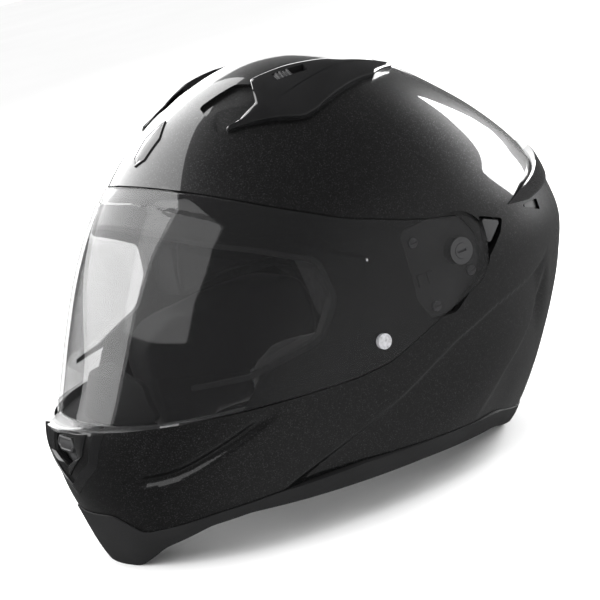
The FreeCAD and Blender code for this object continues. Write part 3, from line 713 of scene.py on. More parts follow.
def fabric_material(name, base):
    """Brushed knit lining: small loops under a soft nap, with painted shade in the pits between the loops.
    """
    n = Nodes(name)
    loops = n.cells(1100.0, "Distance")
    fuzz = n.noise(700.0, 4.0, 0.7)
    worn = n.noise(18.0, 3.0)
    height = n.math("ADD", loops, fuzz)
    # the colour follows the bump height and is darker where it is low: painted shade in the pits between the
    # loops, times a random tone from the worn noise
    pit_shade_and_wear = n.math("MULTIPLY", height, n.remap(worn, 0.8, 1.15))
    colour = n.ramp(pit_shade_and_wear, [(0.3, grey(base * 0.55)), (0.95, grey(base * 1.3))])
    return n.finish(n.principled(Base_Color=colour, Roughness=0.92, Normal=n.bump(height, 0.35, 0.0005),
                                 Sheen_Weight=0.25, Sheen_Roughness=0.4))


def foam_material():
    """Expanded foam: packed beads, with painted shade towards each bead's edge."""
    n = Nodes("bead_foam")
    beads = n.cells(380.0, "Distance")
    # lighter at each bead's middle and darker towards its edge, where the bump is low: painted shade between
    # the beads
    colour = n.ramp(beads, [(0.0, grey(0.07)), (0.7, grey(0.03))])
    return n.finish(n.principled(Base_Color=colour, Roughness=0.75, Normal=n.bump(beads, -0.6, 0.0006)))


def webbing_material():
    """Woven strap: ribs across its length, with painted shade in the low spots of the weave."""
    n = Nodes("strap_webbing")
    wave = n.add("ShaderNodeTexWave", bands_direction="Z")
    wave.inputs["Scale"].default_value = 260.0
    n.link(n.place, wave.inputs["Vector"])
    cross = n.add("ShaderNodeTexWave", bands_direction="Y")
    cross.inputs["Scale"].default_value = 420.0
    n.link(n.place, cross.inputs["Vector"])
    height = n.math("MULTIPLY", wave.outputs["Fac"], cross.outputs["Fac"])
    # the colour follows the weave's bump height and is darker where it is low: painted shade in the weave's
    # low spots
    colour = n.ramp(height, [(0.0, grey(0.012)), (1.0, grey(0.05))])
    return n.finish(n.principled(Base_Color=colour, Roughness=0.8, Normal=n.bump(height, 0.6, 0.0005)))


def steel_material(name, base, rough):
    """Brushed steel with fine scratches."""
    n = Nodes(name)
    lines = n.noise(500.0, 3.0, 0.6, (1.0, 0.08, 1.0))
    colour = n.ramp(n.noise(60.0), [(0.2, grey(base * 0.85)), (0.9, grey(base))])
    return n.finish(n.principled(Base_Color=colour, Metallic=1.0,
                                 Roughness=n.remap(lines, rough, rough + 0.2),
                                 Normal=n.bump(lines, 0.08, 0.0002)))


def pin_material():
    """Frosted clear pin over a bright seat."""
    n = Nodes("frosted_pin")
    streak = n.noise(420.0, 3.0, 0.6)
    colour = n.ramp(streak, [(0.25, grey(0.36)), (0.6, grey(0.62)), (0.9, grey(0.85))])
    return n.finish(n.principled(Base_Color=colour, Metallic=0.35, Roughness=n.remap(streak, 0.2, 0.4),
                                 Normal=n.bump(streak, 0.2, 0.0003), Coat_Weight=0.6))


def floor_material():
    """Plain pale floor."""
    n = Nodes("studio_floor")
    colour = n.ramp(n.noise(3.0, 2.0), [(0.2, (0.90, 0.90, 0.90)), (0.8, (0.93, 0.93, 0.93))])
    return n.finish(n.principled(Base_Color=colour, Roughness=0.9, Specular_IOR_Level=0.1))


# ---------------------------------------------------------------- shell

STYLE_CREASES = [
    # line in the side view as (y, z), depth below the line, distance over which it fades
    ([(112, 118), (105, 109), (89, 104), (56, 98), (24, 88), (2, 78), (-16, 69), (-33, 62),
      (-63, 50), (-88, 39), (-105, 28)], 3.4, 46.0),
    ([(112, 112), (102, 92), (89, 73), (74, 63), (61, 55), (46, 44), (31, 33)], 2.8, 30.0),
]


CHIN_GROOVE = [(-163, 56, 0), (-144, 58.5, 40), (-119, 70, 40), (-88, 85, 0)]
CHIN_GROOVE_DEPTH = 2.6
CHIN_LINES = [((-166.5, 57), (-151.5, 86)), ((-162.5, 59), (-149.0, 86))]
CHIN_LINE_DEPTH = 1.1
SHELL_GRID = (280, 640)       # rows and columns of the outer skin
INNER_ROWS = 60
CHIN_CUT_BACK = -120.0        # the chin vent's window is cut from the front back to here


def below_line(points, line):
    """Signed distance in the side view: positive below and behind the line."""
    best = np.full(points.shape[:-1], 1e9)
    sign = np.ones(points.shape[:-1])
    for a, b in zip(line[:-1], line[1:]):
        along = b - a
        share = np.clip(((points - a) @ along) / (along @ along), 0, 1)
        foot = a + share[..., None] * along
        distance = np.linalg.norm(points - foot, axis=-1)
        turn = along[0] * (points[..., 1] - a[1]) - along[1] * (points[..., 0] - a[0])
        closer = distance < best - 1e-9
        sign = np.where(closer, np.where(turn > 0, 1.0, -1.0), sign)
        best = np.where(closer, distance, best)
    return best * sign


def style_relief(points):
    """Depth of the creases and hollows pressed into the shell's sides, in millimetres."""
    side = points[..., 1:]
    depth = np.zeros(points.shape[:-1])
    for line, amount, fade in STYLE_CREASES:
        line = rounded([(a, b, 30) for a, b in line], closed=False)
        signed = below_line(side, line)
        ends = np.minimum(ease(side[..., 0], line[-1][0] - 2, line[-1][0] + 40),
                          1 - ease(side[..., 0], line[0][0] - 14, line[0][0] + 2))
        fall = ease(signed, 0.0, 3.6) * (1 - ease(signed, 3.6, fade))
        depth = depth - amount * fall * ends
    return depth


def chin_relief(points):
    """Two thin lines beside the chin, and the long groove behind them."""
    side = points[..., 1:]
    gap, spot = nearest_on(side, rounded(CHIN_GROOVE, closed=False))
    taper = ease(spot[..., 0], -166, -158) * (1 - ease(spot[..., 0], -112, -88))
    depth = -CHIN_GROOVE_DEPTH * (1 - ease(gap, 0.4, 4.4)) * taper
    for line in CHIN_LINES:
        gap, spot = nearest_on(side, np.array(line, float))
        depth = depth - CHIN_LINE_DEPTH * (1 - ease(gap, 0.2, 2.4)) * (1 - ease(spot[..., 1], 80, 86))
    return depth


def shell_lift(points):
    """Lift of the painted surface from the plain form."""
    return style_relief(points) + chin_relief(points)


def line_height(corners, y):
    """Height of an open side outline at each y."""
    line = rounded(corners, closed=False)
    return np.interp(y, line[:, 0], line[:, 1])


def edge_station(angle, corners, visor=False, guess=30.0):
    """Station where the form meets a side outline, for each angle."""
    z = np.full(angle.shape, guess)
    for _ in range(40):
        y = skin(angle, dome_station(z), visor)[..., 1]
        z = 0.5 * z + 0.5 * line_height(corners, y)
    return dome_station(z)


def outer_shell(mats):
    """The painted shell: one closed skin from the rim line to the crown, then cut open."""
    rows, columns = SHELL_GRID
    angle = 2 * math.pi * np.arange(columns) / columns
    low = edge_station(angle, RIM_LINE)
    share = np.linspace(0, 1, rows)[:, None]
    station = low[None, :] + (TOP_STATION - CROWN_MARGIN - low[None, :]) * share
    base = skin(angle[None, :], station)
    outer = lifted(angle[None, :], station, shell_lift(base))
    share = np.linspace(1, 0, INNER_ROWS)[:, None]
    station = low[None, :] + (TOP_STATION - CROWN_MARGIN - low[None, :]) * share
    inner = lifted(angle[None, :], station, np.full(station.shape, -SHELL_WALL))
    points = np.vstack([outer.reshape(-1, 3), inner.reshape(-1, 3)])
    faces = grid_faces(rows, columns, wrap_columns=True)
    faces += grid_faces(INNER_ROWS, columns, start=rows * columns, wrap_columns=True)
    last = (rows + INNER_ROWS - 1) * columns
    for j in range(columns):
        k = (j + 1) % columns
        faces.append((last + j, last + k, k, j))
    faces.append(tuple(range((rows - 1) * columns, rows * columns)))
    faces.append(tuple(range(rows * columns, (rows + 1) * columns))[::-1])
    paint = mats["paint"]
    shell = tidy(new_object("shell", points, faces, paint))
    cutters = [visor_step_cutter(paint),
               prism("eye_port_cut", rounded(EYE_PORT), "x", -CUT_REACH, CUT_REACH, paint),
               prism("chin_vent_cut", np.array(CHIN_WINDOW, float), "y", -CUT_REACH, CHIN_CUT_BACK, paint)]
    for side in (-1, 1):
        cutters += side_pocket_cutters(side, paint)
    scoop = resampled(rounded(TOP_SCOOP), 1.5)
    cutters.append(slab("scoop_cut", scoop, SCOOP_SPINE, place_top, -2.4, 7.0, paint))
    cutters.append(mirrored(cutters[-1], "scoop_cut_right"))
    cut_away(shell, cutters)
    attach(shell, "helmet")
    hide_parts("outer_shell")
    return shell


def grown(outline, amount):
    """A dense closed outline moved outwards along its normals."""
    ahead = np.roll(outline, -1, 0) - np.roll(outline, 1, 0)
    normal = np.column_stack([ahead[:, 1], -ahead[:, 0]])
    normal /= np.linalg.norm(normal, axis=1, keepdims=True)
    area = np.sum(outline[:, 0] * np.roll(outline[:, 1], -1) - np.roll(outline[:, 0], -1) * outline[:, 1])
    return outline + normal * amount * (1 if area > 0 else -1)


def disc(centre, radius, count=72):
    """Circle outline."""
    turns = 2 * math.pi * np.arange(count) / count
    return np.column_stack([centre[0] + radius * np.cos(turns), centre[1] + radius * np.sin(turns)])


PLATE_CLEARANCE = 0.4
DISC_CLEARANCE = 2.8          # leaves room for the visor's rear end to turn
PLATE_POCKET_X = 117.0        # floors of the pockets, measured from the middle
DISC_POCKET_X = 120.2
SLOT_X = 85.0
POCKET_TOP_X = 150.0


def side_pocket_cutters(side, material):
    """Pockets for the visor mechanism and the release lever, and the exhaust slot at the back."""
    cutters = []
    plate = grown(resampled(rounded(BASE_PLATE), 1.0), PLATE_CLEARANCE)
    for outline, depth in ((plate, PLATE_POCKET_X),
                           (disc(PIVOT, PIVOT_DISC + DISC_CLEARANCE), DISC_POCKET_X),
                           (rounded(LEVER_POCKET), PLATE_POCKET_X),
                           (rounded(REAR_SLOT), SLOT_X)):
        low, high = sorted((side * depth, side * POCKET_TOP_X))
        cutters.append(prism("side_pocket", outline, "x", low, high, material))
    return cutters


STEP_GRID = (90, 260)         # rows and columns of the band behind the visor
STEP_HEIGHTS = (79, 221)
STEP_SWEEP = math.radians(125)
STEP_TOP = 14.0
STEP_MARGIN = 0.8


def visor_step_cutter(material):
    """Band outside the surface behind the visor, limited to the visor's outline."""
    rows, columns = STEP_GRID
    angle = np.linspace(-1.0, 1.0, columns) * STEP_SWEEP
    station = dome_station(np.linspace(*STEP_HEIGHTS, rows))[:, None]
    inner = lifted(angle[None, :], station, np.full((rows, columns), -VISOR_WALL - VISOR_GAP), True)
    outer = lifted(angle[None, :], station, np.full((rows, columns), STEP_TOP), True)
    points = np.vstack([inner.reshape(-1, 3), outer.reshape(-1, 3)])
    size = rows * columns
    faces = grid_faces(rows, columns, flip=True) + grid_faces(rows, columns, start=size)
    for a, b in rim_steps(rows, columns):
        faces.append((a, b, b + size, a + size))
    band = tidy(new_object("visor_step", points, faces, material))
    outline = grown(resampled(rounded(VISOR_EDGE), 1.2), STEP_MARGIN)
    keep = prism("visor_step_keep", outline, "x", -CUT_REACH, CUT_REACH, material)
    combine(band, keep, "INTERSECT")
    return band


def lower_trim(mats):
    """Rubber rim: a closed band with a rolled foot."""
    columns = 420
    angle = 2 * math.pi * np.arange(columns) / columns
    top = edge_station(angle, RIM_LINE)
    foot = edge_station(angle, RIM_FOOT, guess=20.0)
    profile = []
    for k in range(9):
        profile.append((k / 8, TRIM_PROUD + 0.5 * math.sin(math.pi * k / 8)))
    profile += [(1.0, TRIM_PROUD - 1.2), (1.0, -TRIM_DEPTH + 1.0)]
    profile += [(0.93, -TRIM_DEPTH), (0.4, -TRIM_DEPTH), (0.0, -TRIM_DEPTH), (0.0, -SHELL_WALL)]
    profile += [(0.0, -0.2), (0.02, TRIM_PROUD - 0.3)]
    rings = []
    for drop, lift in profile:
        station = top + (foot - top) * drop
        rings.append(lifted(angle, station, np.full(columns, lift)))
    points = np.vstack(rings)
    points[:, 2] = np.maximum(points[:, 2], 0.0)
    faces = grid_faces(len(rings), columns, wrap_rows=True, wrap_columns=True)
    trim = tidy(new_object("rim_trim", points, faces, mats["rubber"]))
    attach(trim, "helmet")
    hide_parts("lower_trim")
    return trim


# ---------------------------------------------------------------- visor

PANEL_CREASE = [(-107, 204, 6), (-88, 191.5, 30), (-66, 175.5, 60), (-40, 159.5, 40), (-22, 150.5, 3),
                (-30, 134, 60), (-39, 113, 60), (-52, 86, 0)]
PANEL_RISE = 1.3
PLATE_SINK = 0.3
VISOR_GRID = (520, 110)       # columns and rows asked of visor_grid
PIVOT_HOLE = 8.06
PIN_HOLE = 4.8


def visor_relief(side):
    """The window panel stands proud of the side plates and of the upper flange."""
    line = rounded(PANEL_CREASE, closed=False, step=1.0)
    loop = np.vstack([[(-260, 204)], line, [(-52, 60), (-260, 60)]])
    gap, _ = nearest_on(side, line)
    inside = inside_outline(side, loop)
    signed = np.where(inside, -gap, gap)
    top = ease(side[..., 1], 203.0, 205.5)
    panel = 1 - np.maximum(ease(signed, -0.3, 0.9), top * 0.7)
    bead = 0.35 * np.exp(-((signed + 1.1) / 0.8) ** 2)
    return PANEL_RISE * panel - PLATE_SINK + bead * (1 - top)


def inside_outline(points, outline):
    """True where points lie inside a closed outline."""
    inside = np.zeros(points.shape[:-1], bool)
    a, b = points[..., 0], points[..., 1]
    for p, q in zip(outline, np.roll(outline, -1, 0)):
        crosses = (p[1] > b) != (q[1] > b)
        with np.errstate(divide="ignore", invalid="ignore"):
            at = (q[0] - p[0]) * (b - p[1]) / (q[1] - p[1]) + p[0]
        inside ^= crosses & (a < at)
    return inside


def visor_edges(y):
    """Lower and upper height of the visor's outline at each y."""
    outline = resampled(rounded(VISOR_EDGE), 0.8)
    start = int(np.argmin(np.abs(outline - np.array(VISOR_EDGE[0][:2])).sum(1)))
    outline = np.roll(outline, -start, 0)
    tail = int(np.argmax(outline[:, 0]))
    upper, lower = outline[:tail + 1], outline[tail:][::-1]
    return np.interp(y, lower[:, 0], lower[:, 1]), np.interp(y, upper[:, 0], upper[:, 1]), outline[tail]


def visor_grid(columns, rows):
    """Angles and stations of a grid that fills the visor's outline."""
    end = visor_edges(np.zeros(1))[2]
    end_angle = float(from_side(end[0] - 0.05, end[1], True)[0])
    share = np.linspace(0, 1, columns // 2 + 1)
    angle = end_angle * (1 - (1 - np.sin(share * math.pi / 2)) * 0.35 - 0.65 * (1 - share))
    low, high = np.full(angle.shape, 95.0), np.full(angle.shape, 160.0)
    for _ in range(60):
        y_low = np.minimum(skin(angle, dome_station(low), True)[..., 1], end[0] - 0.02)
        y_high = np.minimum(skin(angle, dome_station(high), True)[..., 1], end[0] - 0.02)
        low = 0.6 * low + 0.4 * visor_edges(y_low)[0]
        high = 0.6 * high + 0.4 * visor_edges(y_high)[1]
    angle = np.r_[-angle[:0:-1], angle]
    low, high = np.r_[low[:0:-1], low], np.r_[high[:0:-1], high]
    rise = np.linspace(0, 1, rows)
    rise = 0.5 - 0.5 * np.cos(rise * math.pi) * (1 - 0.35) - 0.35 * (0.5 - rise)
    rise = (rise - rise[0]) / (rise[-1] - rise[0])
    height = low[None, :] + (high - low)[None, :] * rise[:, None]
    return np.broadcast_to(angle, height.shape), dome_station(height)


def visor(mats):
    """Smoke visor: outer and inner skin with rounded edges."""
    angle, station = visor_grid(*VISOR_GRID)
    rows, columns = angle.shape
    side = skin(angle, station, True)[..., 1:]
    outer = lifted(angle, station, visor_relief(side), True)
    inner = lifted(angle, station, np.full(angle.shape, -VISOR_WALL), True)
    size = rows * columns
    points = np.vstack([outer.reshape(-1, 3), inner.reshape(-1, 3)])
    faces = grid_faces(rows, columns) + grid_faces(rows, columns, start=size, flip=True)
    for a, b in rim_steps(rows, columns):
        faces.append((b, a, a + size, b + size))
    glass = tidy(new_object("visor_lens", points, faces, mats["smoke"]))
    cut_away(glass, side_cylinders(mats["smoke"]))
    softened(glass, 0.3, 2)
    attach(glass, "visor")
    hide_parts("visor")
    return glass


def side_cylinders(material):
    """Cutters for the hub holes and the pin holes on both sides."""
    return [prism("hole_cutter", disc(centre, radius, 64), "x", -POCKET_TOP_X, POCKET_TOP_X, material)
            for centre, radius in ((PIVOT, PIVOT_HOLE), (PIN, PIN_HOLE))]


# ---------------------------------------------------------------- vents, lip and badge

def top_vent_cover(mats):
    """Raised wedge over each top vent, with its mouth at the front."""
    outline = resampled(rounded(TOP_VENT), 1.0)
    edge = [(0.0, 2.9), (0.12, 3.6), (0.45, 4.2), (1.1, 4.55)]

    def taper(points):
        return 0.45 + 0.55 * ease(points[:, 1], -60, -30) * (1 - 0.45 * ease(points[:, 1], 30, 70))

    cover = raised("top_vent_cover_left", outline, TOP_VENT_SPINE, place_top, edge, 5.4, mats["gloss"],
                   taper=taper)
    mouth = resampled(np.array(TOP_MOUTH, float), 1.5)
    dark = mats["dark_plastic"]
    cut_away(cover, [slab("mouth_cut", mouth, MOUTH_SPINE, place_top, 0.6, 3.4, dark),
                     thumb_track_cutter(dark)])
    for side, piece in (("left", cover), ("right", mirrored(cover, "top_vent_cover_r"))):
        piece.name = "vent_cover_" + side
        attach(piece, "helmet")
        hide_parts("top_vent_cover_" + side)


THUMB_CENTRE = Vector((48.6, -6.0, 252.9))
THUMB_TRAVEL = Vector((0.18, 0.98, 0.04)).normalized()
THUMB_STROKE = 9.0
THUMB_LEAN = math.radians(27)


def seat_block(block, centre):
    """Turns a block made about the middle so that it lies along the vent's slide, at a centre."""
    out = Vector((math.sin(THUMB_LEAN), 0, math.cos(THUMB_LEAN)))
    side = THUMB_TRAVEL.cross(out).normalized()
    out = side.cross(THUMB_TRAVEL).normalized()
    turn = Matrix([[side[r], THUMB_TRAVEL[r], out[r]] for r in range(3)]).to_4x4()
    place = centre + Vector((0, ORIGIN_SHIFT, 0))
    block.data.transform(Matrix.Translation(Vector((0, -ORIGIN_SHIFT, 0)) * MM))
    block.data.transform(Matrix.Translation(place * MM) @ turn)


def thumb_track_cutter(material):
    """Track for the thumb block, open above the cover."""
    half = (11.6 + THUMB_STROKE) / 2
    outline = np.array([(-half, -2.4), (half, -2.4), (half, 6.0), (-half, 6.0)])
    track = prism("track_cut", outline, "x", -3.9, 3.9, material)
    seat_block(track, THUMB_CENTRE + THUMB_TRAVEL * THUMB_STROKE / 2)
    return track


def top_vent_slider(mats):
    """Small ribbed thumb block that slides along each top vent."""
    length, width, height, ribs = 11.0, 7.0, 4.4, 4
    profile = [(-length / 2, -height / 2), (length / 2, -height / 2), (length / 2, height * 0.1)]
    for k in range(ribs):
        a = length / 2 - 1.2 - k * 2.3
        profile += [(a, height / 2 - 0.3 * (k % 2)), (a - 1.1, height / 2 - 0.3 * (k % 2)),
                    (a - 1.5, height / 2 - 1.0), (a - 1.9, height / 2 - 1.0)]
    profile += [(-length / 2, height * 0.1)]
    block = prism("slider_blank", np.array(profile), "x", -width / 2, width / 2, mats["plastic"])
    softened(block, 0.35)
    seat_block(block, THUMB_CENTRE)
    for side, piece in (("left", block), ("right", mirrored(block, "slider_r"))):
        piece.name = "vent_thumb_" + side
        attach(piece, "top_vent_slider_" + side)
        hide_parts("top_vent_slider_" + side)


def rear_lip(mats):
    """Lip around the back, over the exhaust slots."""
    tip = float(from_side(82.5, 151.0)[0])
    angle = np.linspace(tip, 2 * math.pi - tip, 241)
    low, high = np.full(angle.shape, 150.0), np.full(angle.shape, 155.0)
    for _ in range(30):
        y = skin(angle, dome_station(0.5 * (low + high)))[:, 1]
        low = np.interp(y, [p[0] for p in REAR_LIP_FOOT], [p[1] for p in REAR_LIP_FOOT])
        high = np.interp(y, [p[0] for p in REAR_LIP], [p[1] for p in REAR_LIP]) + 0.2
    fade = ease(y, 82, 118)
    profile = [(0.0, -1.0), (0.0, 0.7), (0.04, 1.2), (0.12, 1.6), (0.35, 2.2), (0.62, 2.9), (0.84, 3.7),
               (0.94, 3.9), (0.99, 3.6), (1.0, 3.0), (1.0, -1.0)]
    rings = []
    for share, lift in profile:
        height = np.where(lift > 0, lift * (0.12 + 0.88 * fade), lift)
        rings.append(lifted(angle, dome_station(low + (high - low) * share), height))
    lip = strip("rear_lip", rings, mats["gloss"])
    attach(lip, "helmet")
    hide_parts("rear_spoiler")


def chin_parts(mats):
    """Frame, slider and lower chevron of the chin vent."""
    steps = 16
    outer, inner = along_corners(CHIN_FRAME, steps), along_corners(CHIN_WINDOW, steps)
    profile = [(0.0, -1.5), (0.0, 0.4), (0.05, 1.1), (0.16, 1.5), (0.3, 1.25), (0.85, 0.2), (0.97, -0.1),
               (1.0, -0.6), (1.0, -3.2)]
    frame = ring_piece("chin_frame", outer, inner, place_front, profile, mats["gloss"])
    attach(frame, "helmet")
    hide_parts("chin_vent_frame")

    outline = resampled(rounded(CHIN_SLIDER), 0.8)
    slider = raised("chin_slider", outline, CHIN_SLIDER_SPINE, place_front,
                    [(0.0, -2.0), (0.15, -1.5), (0.5, -1.25), (1.4, -1.2), (1.7, -1.6), (2.2, -1.75)], -1.6,
                    mats["plastic"], sink=-3.0)
    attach(slider, "chin_vent_slider")
    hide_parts("chin_vent_slider")

    strips = []
    for line in (CHEVRON_OUTER, CHEVRON_INNER):
        corners = np.array(line, float)
        strips.append(np.vstack([corners[i] + (corners[i + 1] - corners[i]) * k / steps
                                 for i in range(4) for k in range(steps)] + [corners[4]]))
    profile = [(0.0, -1.2), (0.0, 0.2), (0.1, 0.6), (0.55, 1.0), (0.82, 1.7), (0.94, 1.7), (1.0, 1.2),
               (1.0, -1.2)]
    rings = [place_front(strips[0] + (strips[1] - strips[0]) * share, lift) for share, lift in profile]
    chevron = strip("chin_chevron", rings, mats["gloss"])
    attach(chevron, "helmet")
    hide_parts("chin_lower_chevron")


def badge(mats):
    """Blank faceted badge on the forehead."""
    outline = resampled(rounded(BADGE), 0.5)
    piece = raised("blank_badge", outline, BADGE_SPINE, place_top,
                   [(0.0, 0.5), (0.2, 0.9), (1.2, 1.0), (1.6, 0.7)], 1.1, mats["gloss"], sink=-0.8)
    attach(piece, "helmet")
    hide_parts("front_badge")


TAB_HALF_WIDTH = 29.0
TAB_HEIGHT = 89.3
TAB_CENTRE_Y = -147.5         # the tab's edge is an arc about this line
TAB_RADIUS = 34.0


def thumb_tab(mats):
    """Crescent at the foot of the visor, for the thumb."""
    x = np.linspace(-TAB_HALF_WIDTH, TAB_HALF_WIDTH, 97)
    height = np.full(x.shape, TAB_HEIGHT)
    angle, station = from_front(x, height, True)
    root = skin(angle, station, True)
    tip = np.column_stack([x, TAB_CENTRE_Y - np.sqrt(TAB_RADIUS ** 2 - x ** 2), height])
    tip[:, 1] = np.minimum(tip[:, 1], root[:, 1] - 0.4)
    profile = [(-0.06, -1.5), (0.55, -1.5), (0.9, -1.35), (0.98, -0.9), (1.0, 0.0), (0.98, 0.9), (0.9, 1.35),
               (0.55, 1.1), (0.2, 1.3), (-0.06, 1.5)]
    rings = []
    for share, rise in profile:
        points = root + (tip - root) * share
        points[:, 2] += rise
        rings.append(points)
    tab = strip("thumb_tab", rings, mats["tab"])
    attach(tab, "visor")
    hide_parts("visor_tab")


# ---------------------------------------------------------------- padding

PADS = {
    # node: voxel, cloth pressure, furthest swell
    "crown_pad": (5.0, 4.0, 2.5),
    "nape_pad": (4.5, 4.0, 2.5),
    "cheek_pad_left": (4.5, 4.0, 3.0),
    "cheek_pad_right": (4.5, 4.0, 3.0),
    "neck_roll": (4.5, 4.0, 2.0),
}
PAD_FRAMES = 20


def lining_pads(frame, mats):
    """Comfort pads: swollen by a cloth simulation from the plain pads' shapes."""
    for node, (voxel, pressure, cap) in PADS.items():
        source = frame["nodes"][node]
        mesh = source.data.copy()
        mesh.transform(source.matrix_world)
        pad = linked("soft_" + node, mesh)
        remesh = pad.modifiers.new("remesh", "REMESH")
        remesh.mode, remesh.voxel_size = "VOXEL", voxel * MM
        smooth = pad.modifiers.new("smooth", "SMOOTH")
        smooth.factor, smooth.iterations = 0.5, 4
        apply_modifiers(pad)
        swell(pad, pressure, cap * MM)
        finer = pad.modifiers.new("finer", "SUBSURF")
        finer.levels = finer.render_levels = 1
        apply_modifiers(pad)
        pad.data.materials.clear()
        pad.data.materials.append(mats["fabric"])
        pad.data.polygons.foreach_set("use_smooth", [True] * len(pad.data.polygons))
        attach(pad, "helmet")
        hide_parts(node)


def swell(pad, pressure, cap):
    """Puffs a pad up with cloth pressure, moving no point further than the cap."""
    rest = np.array([v.co[:] for v in pad.data.vertices])
    cloth = pad.modifiers.new("cloth", "CLOTH")
    settings = cloth.settings
    settings.use_pressure = True
    settings.uniform_pressure_force = pressure
    settings.effector_weights.gravity = 0.0
    settings.quality = 4
    scene = bpy.context.scene
    for number in range(1, PAD_FRAMES + 1):
        scene.frame_set(number)
    graph = bpy.context.evaluated_depsgraph_get()
    moved = np.array([v.co[:] for v in pad.evaluated_get(graph).data.vertices])
    pad.modifiers.clear()
    scene.frame_set(1)
    if len(moved) != len(rest):
        return
    shift = moved - rest
    length = np.linalg.norm(shift, axis=1, keepdims=True)
    shift = shift * np.minimum(1.0, cap / np.maximum(length, 1e-9))
    pad.data.vertices.foreach_set("co", (rest + shift).ravel())
    pad.data.update()


# ---------------------------------------------------------------- light, floor and camera

WORLD_LIGHT = 1.08
WORLD_IN_GLOSS = 0.10         # what the lacquer mirrors away from the softboxes
GLOW_FROM = (0.68, 0.40, -0.55)
GLOW_START = 0.1
GLOW_STRENGTH = 0.30
CAMERA_BACK = (57.5, 5.0)     # direction to the camera before that turn: azimuth, elevation
LEAN = 15.5                   # the camera turns by this about X, so the helmet seems to lean forward
CAMERA_DISTANCE = 1150.0
CAMERA_LENS = 110.4
TARGET = (0.0, -1.5 + ORIGIN_SHIFT, 110.0)


def add_camera():
    """Long lens from the front left."""
    azimuth, elevation, lean = (math.radians(v) for v in (*CAMERA_BACK, LEAN))
    back = Vector((math.sin(azimuth) * math.cos(elevation), -math.cos(azimuth) * math.cos(elevation),
                   math.sin(elevation)))
    right = Vector((math.cos(azimuth), math.sin(azimuth), 0))
    up = back.cross(right)
    turn = Matrix.Rotation(-lean, 3, "X")
    axes = [turn @ axis for axis in (right, up, back)]
    spot = Vector(TARGET) * MM + axes[2] * CAMERA_DISTANCE * MM
    frame = Matrix([[axes[c][r] for c in range(3)] for r in range(3)]).to_4x4()
    data = bpy.data.cameras.new("camera")
    data.lens, data.sensor_width = CAMERA_LENS, 36.0
    data.clip_start, data.clip_end = 0.05, 60
    camera = linked("camera", data)
    camera.matrix_world = Matrix.Translation(spot) @ frame
    bpy.context.scene.camera = camera


def area_light(name, place, aim, size, power, roll):
    """Rectangular softbox that the camera doesn't see."""
    data = bpy.data.lights.new(name, "AREA")
    data.shape, data.size, data.size_y = "RECTANGLE", size[0], size[1]
    data.energy = power
    light = linked(name, data)
    light.location = place
    turn = (Vector(aim) - Vector(place)).to_track_quat("-Z", "Y").to_matrix()
    light.rotation_euler = (turn @ Matrix.Rotation(math.radians(roll), 3, "Z")).to_euler()
    light.visible_camera = False
    return light


FLOOR_HALF = 8.0


def add_stage(mats):
    """Floor, and an even world that shows less in the lacquer than it lights."""
    mesh = bpy.data.meshes.new("floor")
    corners = [(-1, -1), (1, -1), (1, 1), (-1, 1)]
    mesh.from_pydata([(a * FLOOR_HALF, b * FLOOR_HALF, 0) for a, b in corners], [], [(0, 1, 2, 3)])
    mesh.materials.append(mats["floor"])
    floor = linked("floor", mesh)
    world = bpy.data.worlds.new("studio")
    bpy.context.scene.world = world
    world.use_nodes = True
    nodes, links = world.node_tree.nodes, world.node_tree.links
    sky = nodes["Background"]
    sky.inputs["Color"].default_value = (1, 1, 1, 1)
    path = nodes.new("ShaderNodeLightPath")
    here = nodes.new("ShaderNodeTexCoord")
    toward_glow = nodes.new("ShaderNodeVectorMath")
    toward_glow.operation = "DOT_PRODUCT"
    toward_glow.inputs[1].default_value = Vector(GLOW_FROM).normalized()
    links.new(here.outputs["Generated"], toward_glow.inputs[0])
    glow = nodes.new("ShaderNodeMapRange")
    glow.interpolation_type = "SMOOTHSTEP"
    glow.inputs["From Min"].default_value = GLOW_START
    glow.inputs["To Min"].default_value = WORLD_IN_GLOSS
    glow.inputs["To Max"].default_value = GLOW_STRENGTH
    links.new(toward_glow.outputs["Value"], glow.inputs["Value"])
    dim = nodes.new("ShaderNodeMix")
    dim.inputs["A"].default_value = WORLD_LIGHT
    links.new(glow.outputs["Result"], dim.inputs["B"])
    links.new(path.outputs["Is Glossy Ray"], dim.inputs["Factor"])
    links.new(dim.outputs["Result"], sky.inputs["Strength"])
    floor.visible_glossy = False
    scene = bpy.context.scene
    scene.view_settings.view_transform = "Standard"
    scene.cycles.transparent_max_bounces = 32


def add_lights():
    """Softboxes: name, place, aim, size, power and roll in degrees."""
    area_light("quarter_softbox", (0.069, 1.15, 0.456), (0.103, 0.083, 0.182), (0.90, 0.42), 20, 19)
    area_light("front_softbox", (-1.427, -0.619, 1.332), (0.058, 0.178, 0.704), (3.0, 2.03), 64, -1)
    area_light("back_softbox", (-1.7, 0.75, 0.75), (0.0, 0.0, 0.25), (1.5, 1.0), 16, 0)
    area_light("visor_card", (-0.1, -1.5, 1.25), (0.0, -0.1, 0.15), (1.7, 1.1), 7, 0)
    overhead = area_light("overhead", (0.5, -0.1, 1.9), (0.0, 0.0, 0.14), (0.9, 0.9), 8, 0)
    overhead.visible_glossy = False


# ---------------------------------------------------------------- the whole object

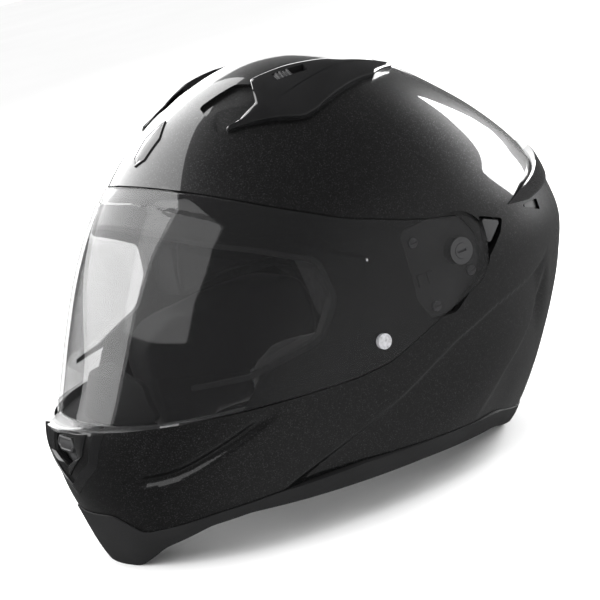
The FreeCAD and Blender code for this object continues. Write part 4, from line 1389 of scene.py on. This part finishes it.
def materials():
    """Every material, by the short name that the parts use."""
    return {
        "paint": paint_material(),
        "gloss": gloss_material(),
        "rubber": rubber_material("rim_rubber", 0.012, 0.55),
        "gasket": rubber_material("gasket_rubber", 0.02, 0.5),
        "plastic": plastic_material("mechanism_plastic", 0.03, 0.38),
        "dark_plastic": plastic_material("vent_plastic", 0.014, 0.45),
        "smoke": tinted_material("smoke_polycarbonate", 0.66, 0.012),
        "tab": tinted_material("smoke_tab", 0.5, 0.05, 0.05),
        "clear": tinted_material("clear_insert", 0.96, 0.05, 0.04),
        "fabric": fabric_material("lining_knit", 0.022),
        "foam": foam_material(),
        "webbing": webbing_material(),
        "steel": steel_material("ring_steel", 0.6, 0.18),
        "screw": steel_material("screw_steel", 0.35, 0.3),
        "pin": pin_material(),
        "floor": floor_material(),
    }


CAD_MATERIALS = {
    "paint": ["outer_shell"],
    "gloss": ["rear_spoiler", "chin_vent_frame", "chin_lower_chevron", "chin_vent_slider", "front_badge",
              "top_vent_cover_left", "top_vent_cover_right"],
    "rubber": ["lower_trim", "breath_deflector"],
    "gasket": ["eyeport_gasket"],
    "plastic": ["base_plate_left", "base_plate_right", "hub_cap_left", "hub_cap_right", "release_lever_left",
                "release_lever_right"],
    "dark_plastic": ["chin_vent_mesh", "rear_vent_grille_left", "rear_vent_grille_right", "strap_snap",
                     "top_vent_slider_left", "top_vent_slider_right"],
    "smoke": ["visor", "visor_tab"],
    "clear": ["anti_fog_insert"],
    "fabric": ["crown_pad", "nape_pad", "neck_roll", "cheek_pad_left", "cheek_pad_right", "chin_curtain"],
    "foam": ["eps_liner", "eps_chin"],
    "webbing": ["strap_long", "strap_short"],
    "steel": ["d_rings"],
    "screw": ["base_plate_screws_left", "base_plate_screws_right", "strap_rivet_left", "strap_rivet_right"],
    "pin": ["insert_pin_left", "insert_pin_right"],
}


def dress_cad_nodes(frame, mats):
    """Gives each CAD node its material, and leaves its mesh alone."""
    for key, nodes in CAD_MATERIALS.items():
        for node in nodes:
            mesh = frame["nodes"][node].data
            mesh.materials.clear()
            mesh.materials.append(mats[key])


def main():
    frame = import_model()
    mats = materials()
    dress_cad_nodes(frame, mats)
    outer_shell(mats)
    lower_trim(mats)
    visor(mats)
    thumb_tab(mats)
    top_vent_cover(mats)
    top_vent_slider(mats)
    rear_lip(mats)
    chin_parts(mats)
    badge(mats)
    lining_pads(frame, mats)
    add_stage(mats)
    add_camera()
    add_lights()


main()
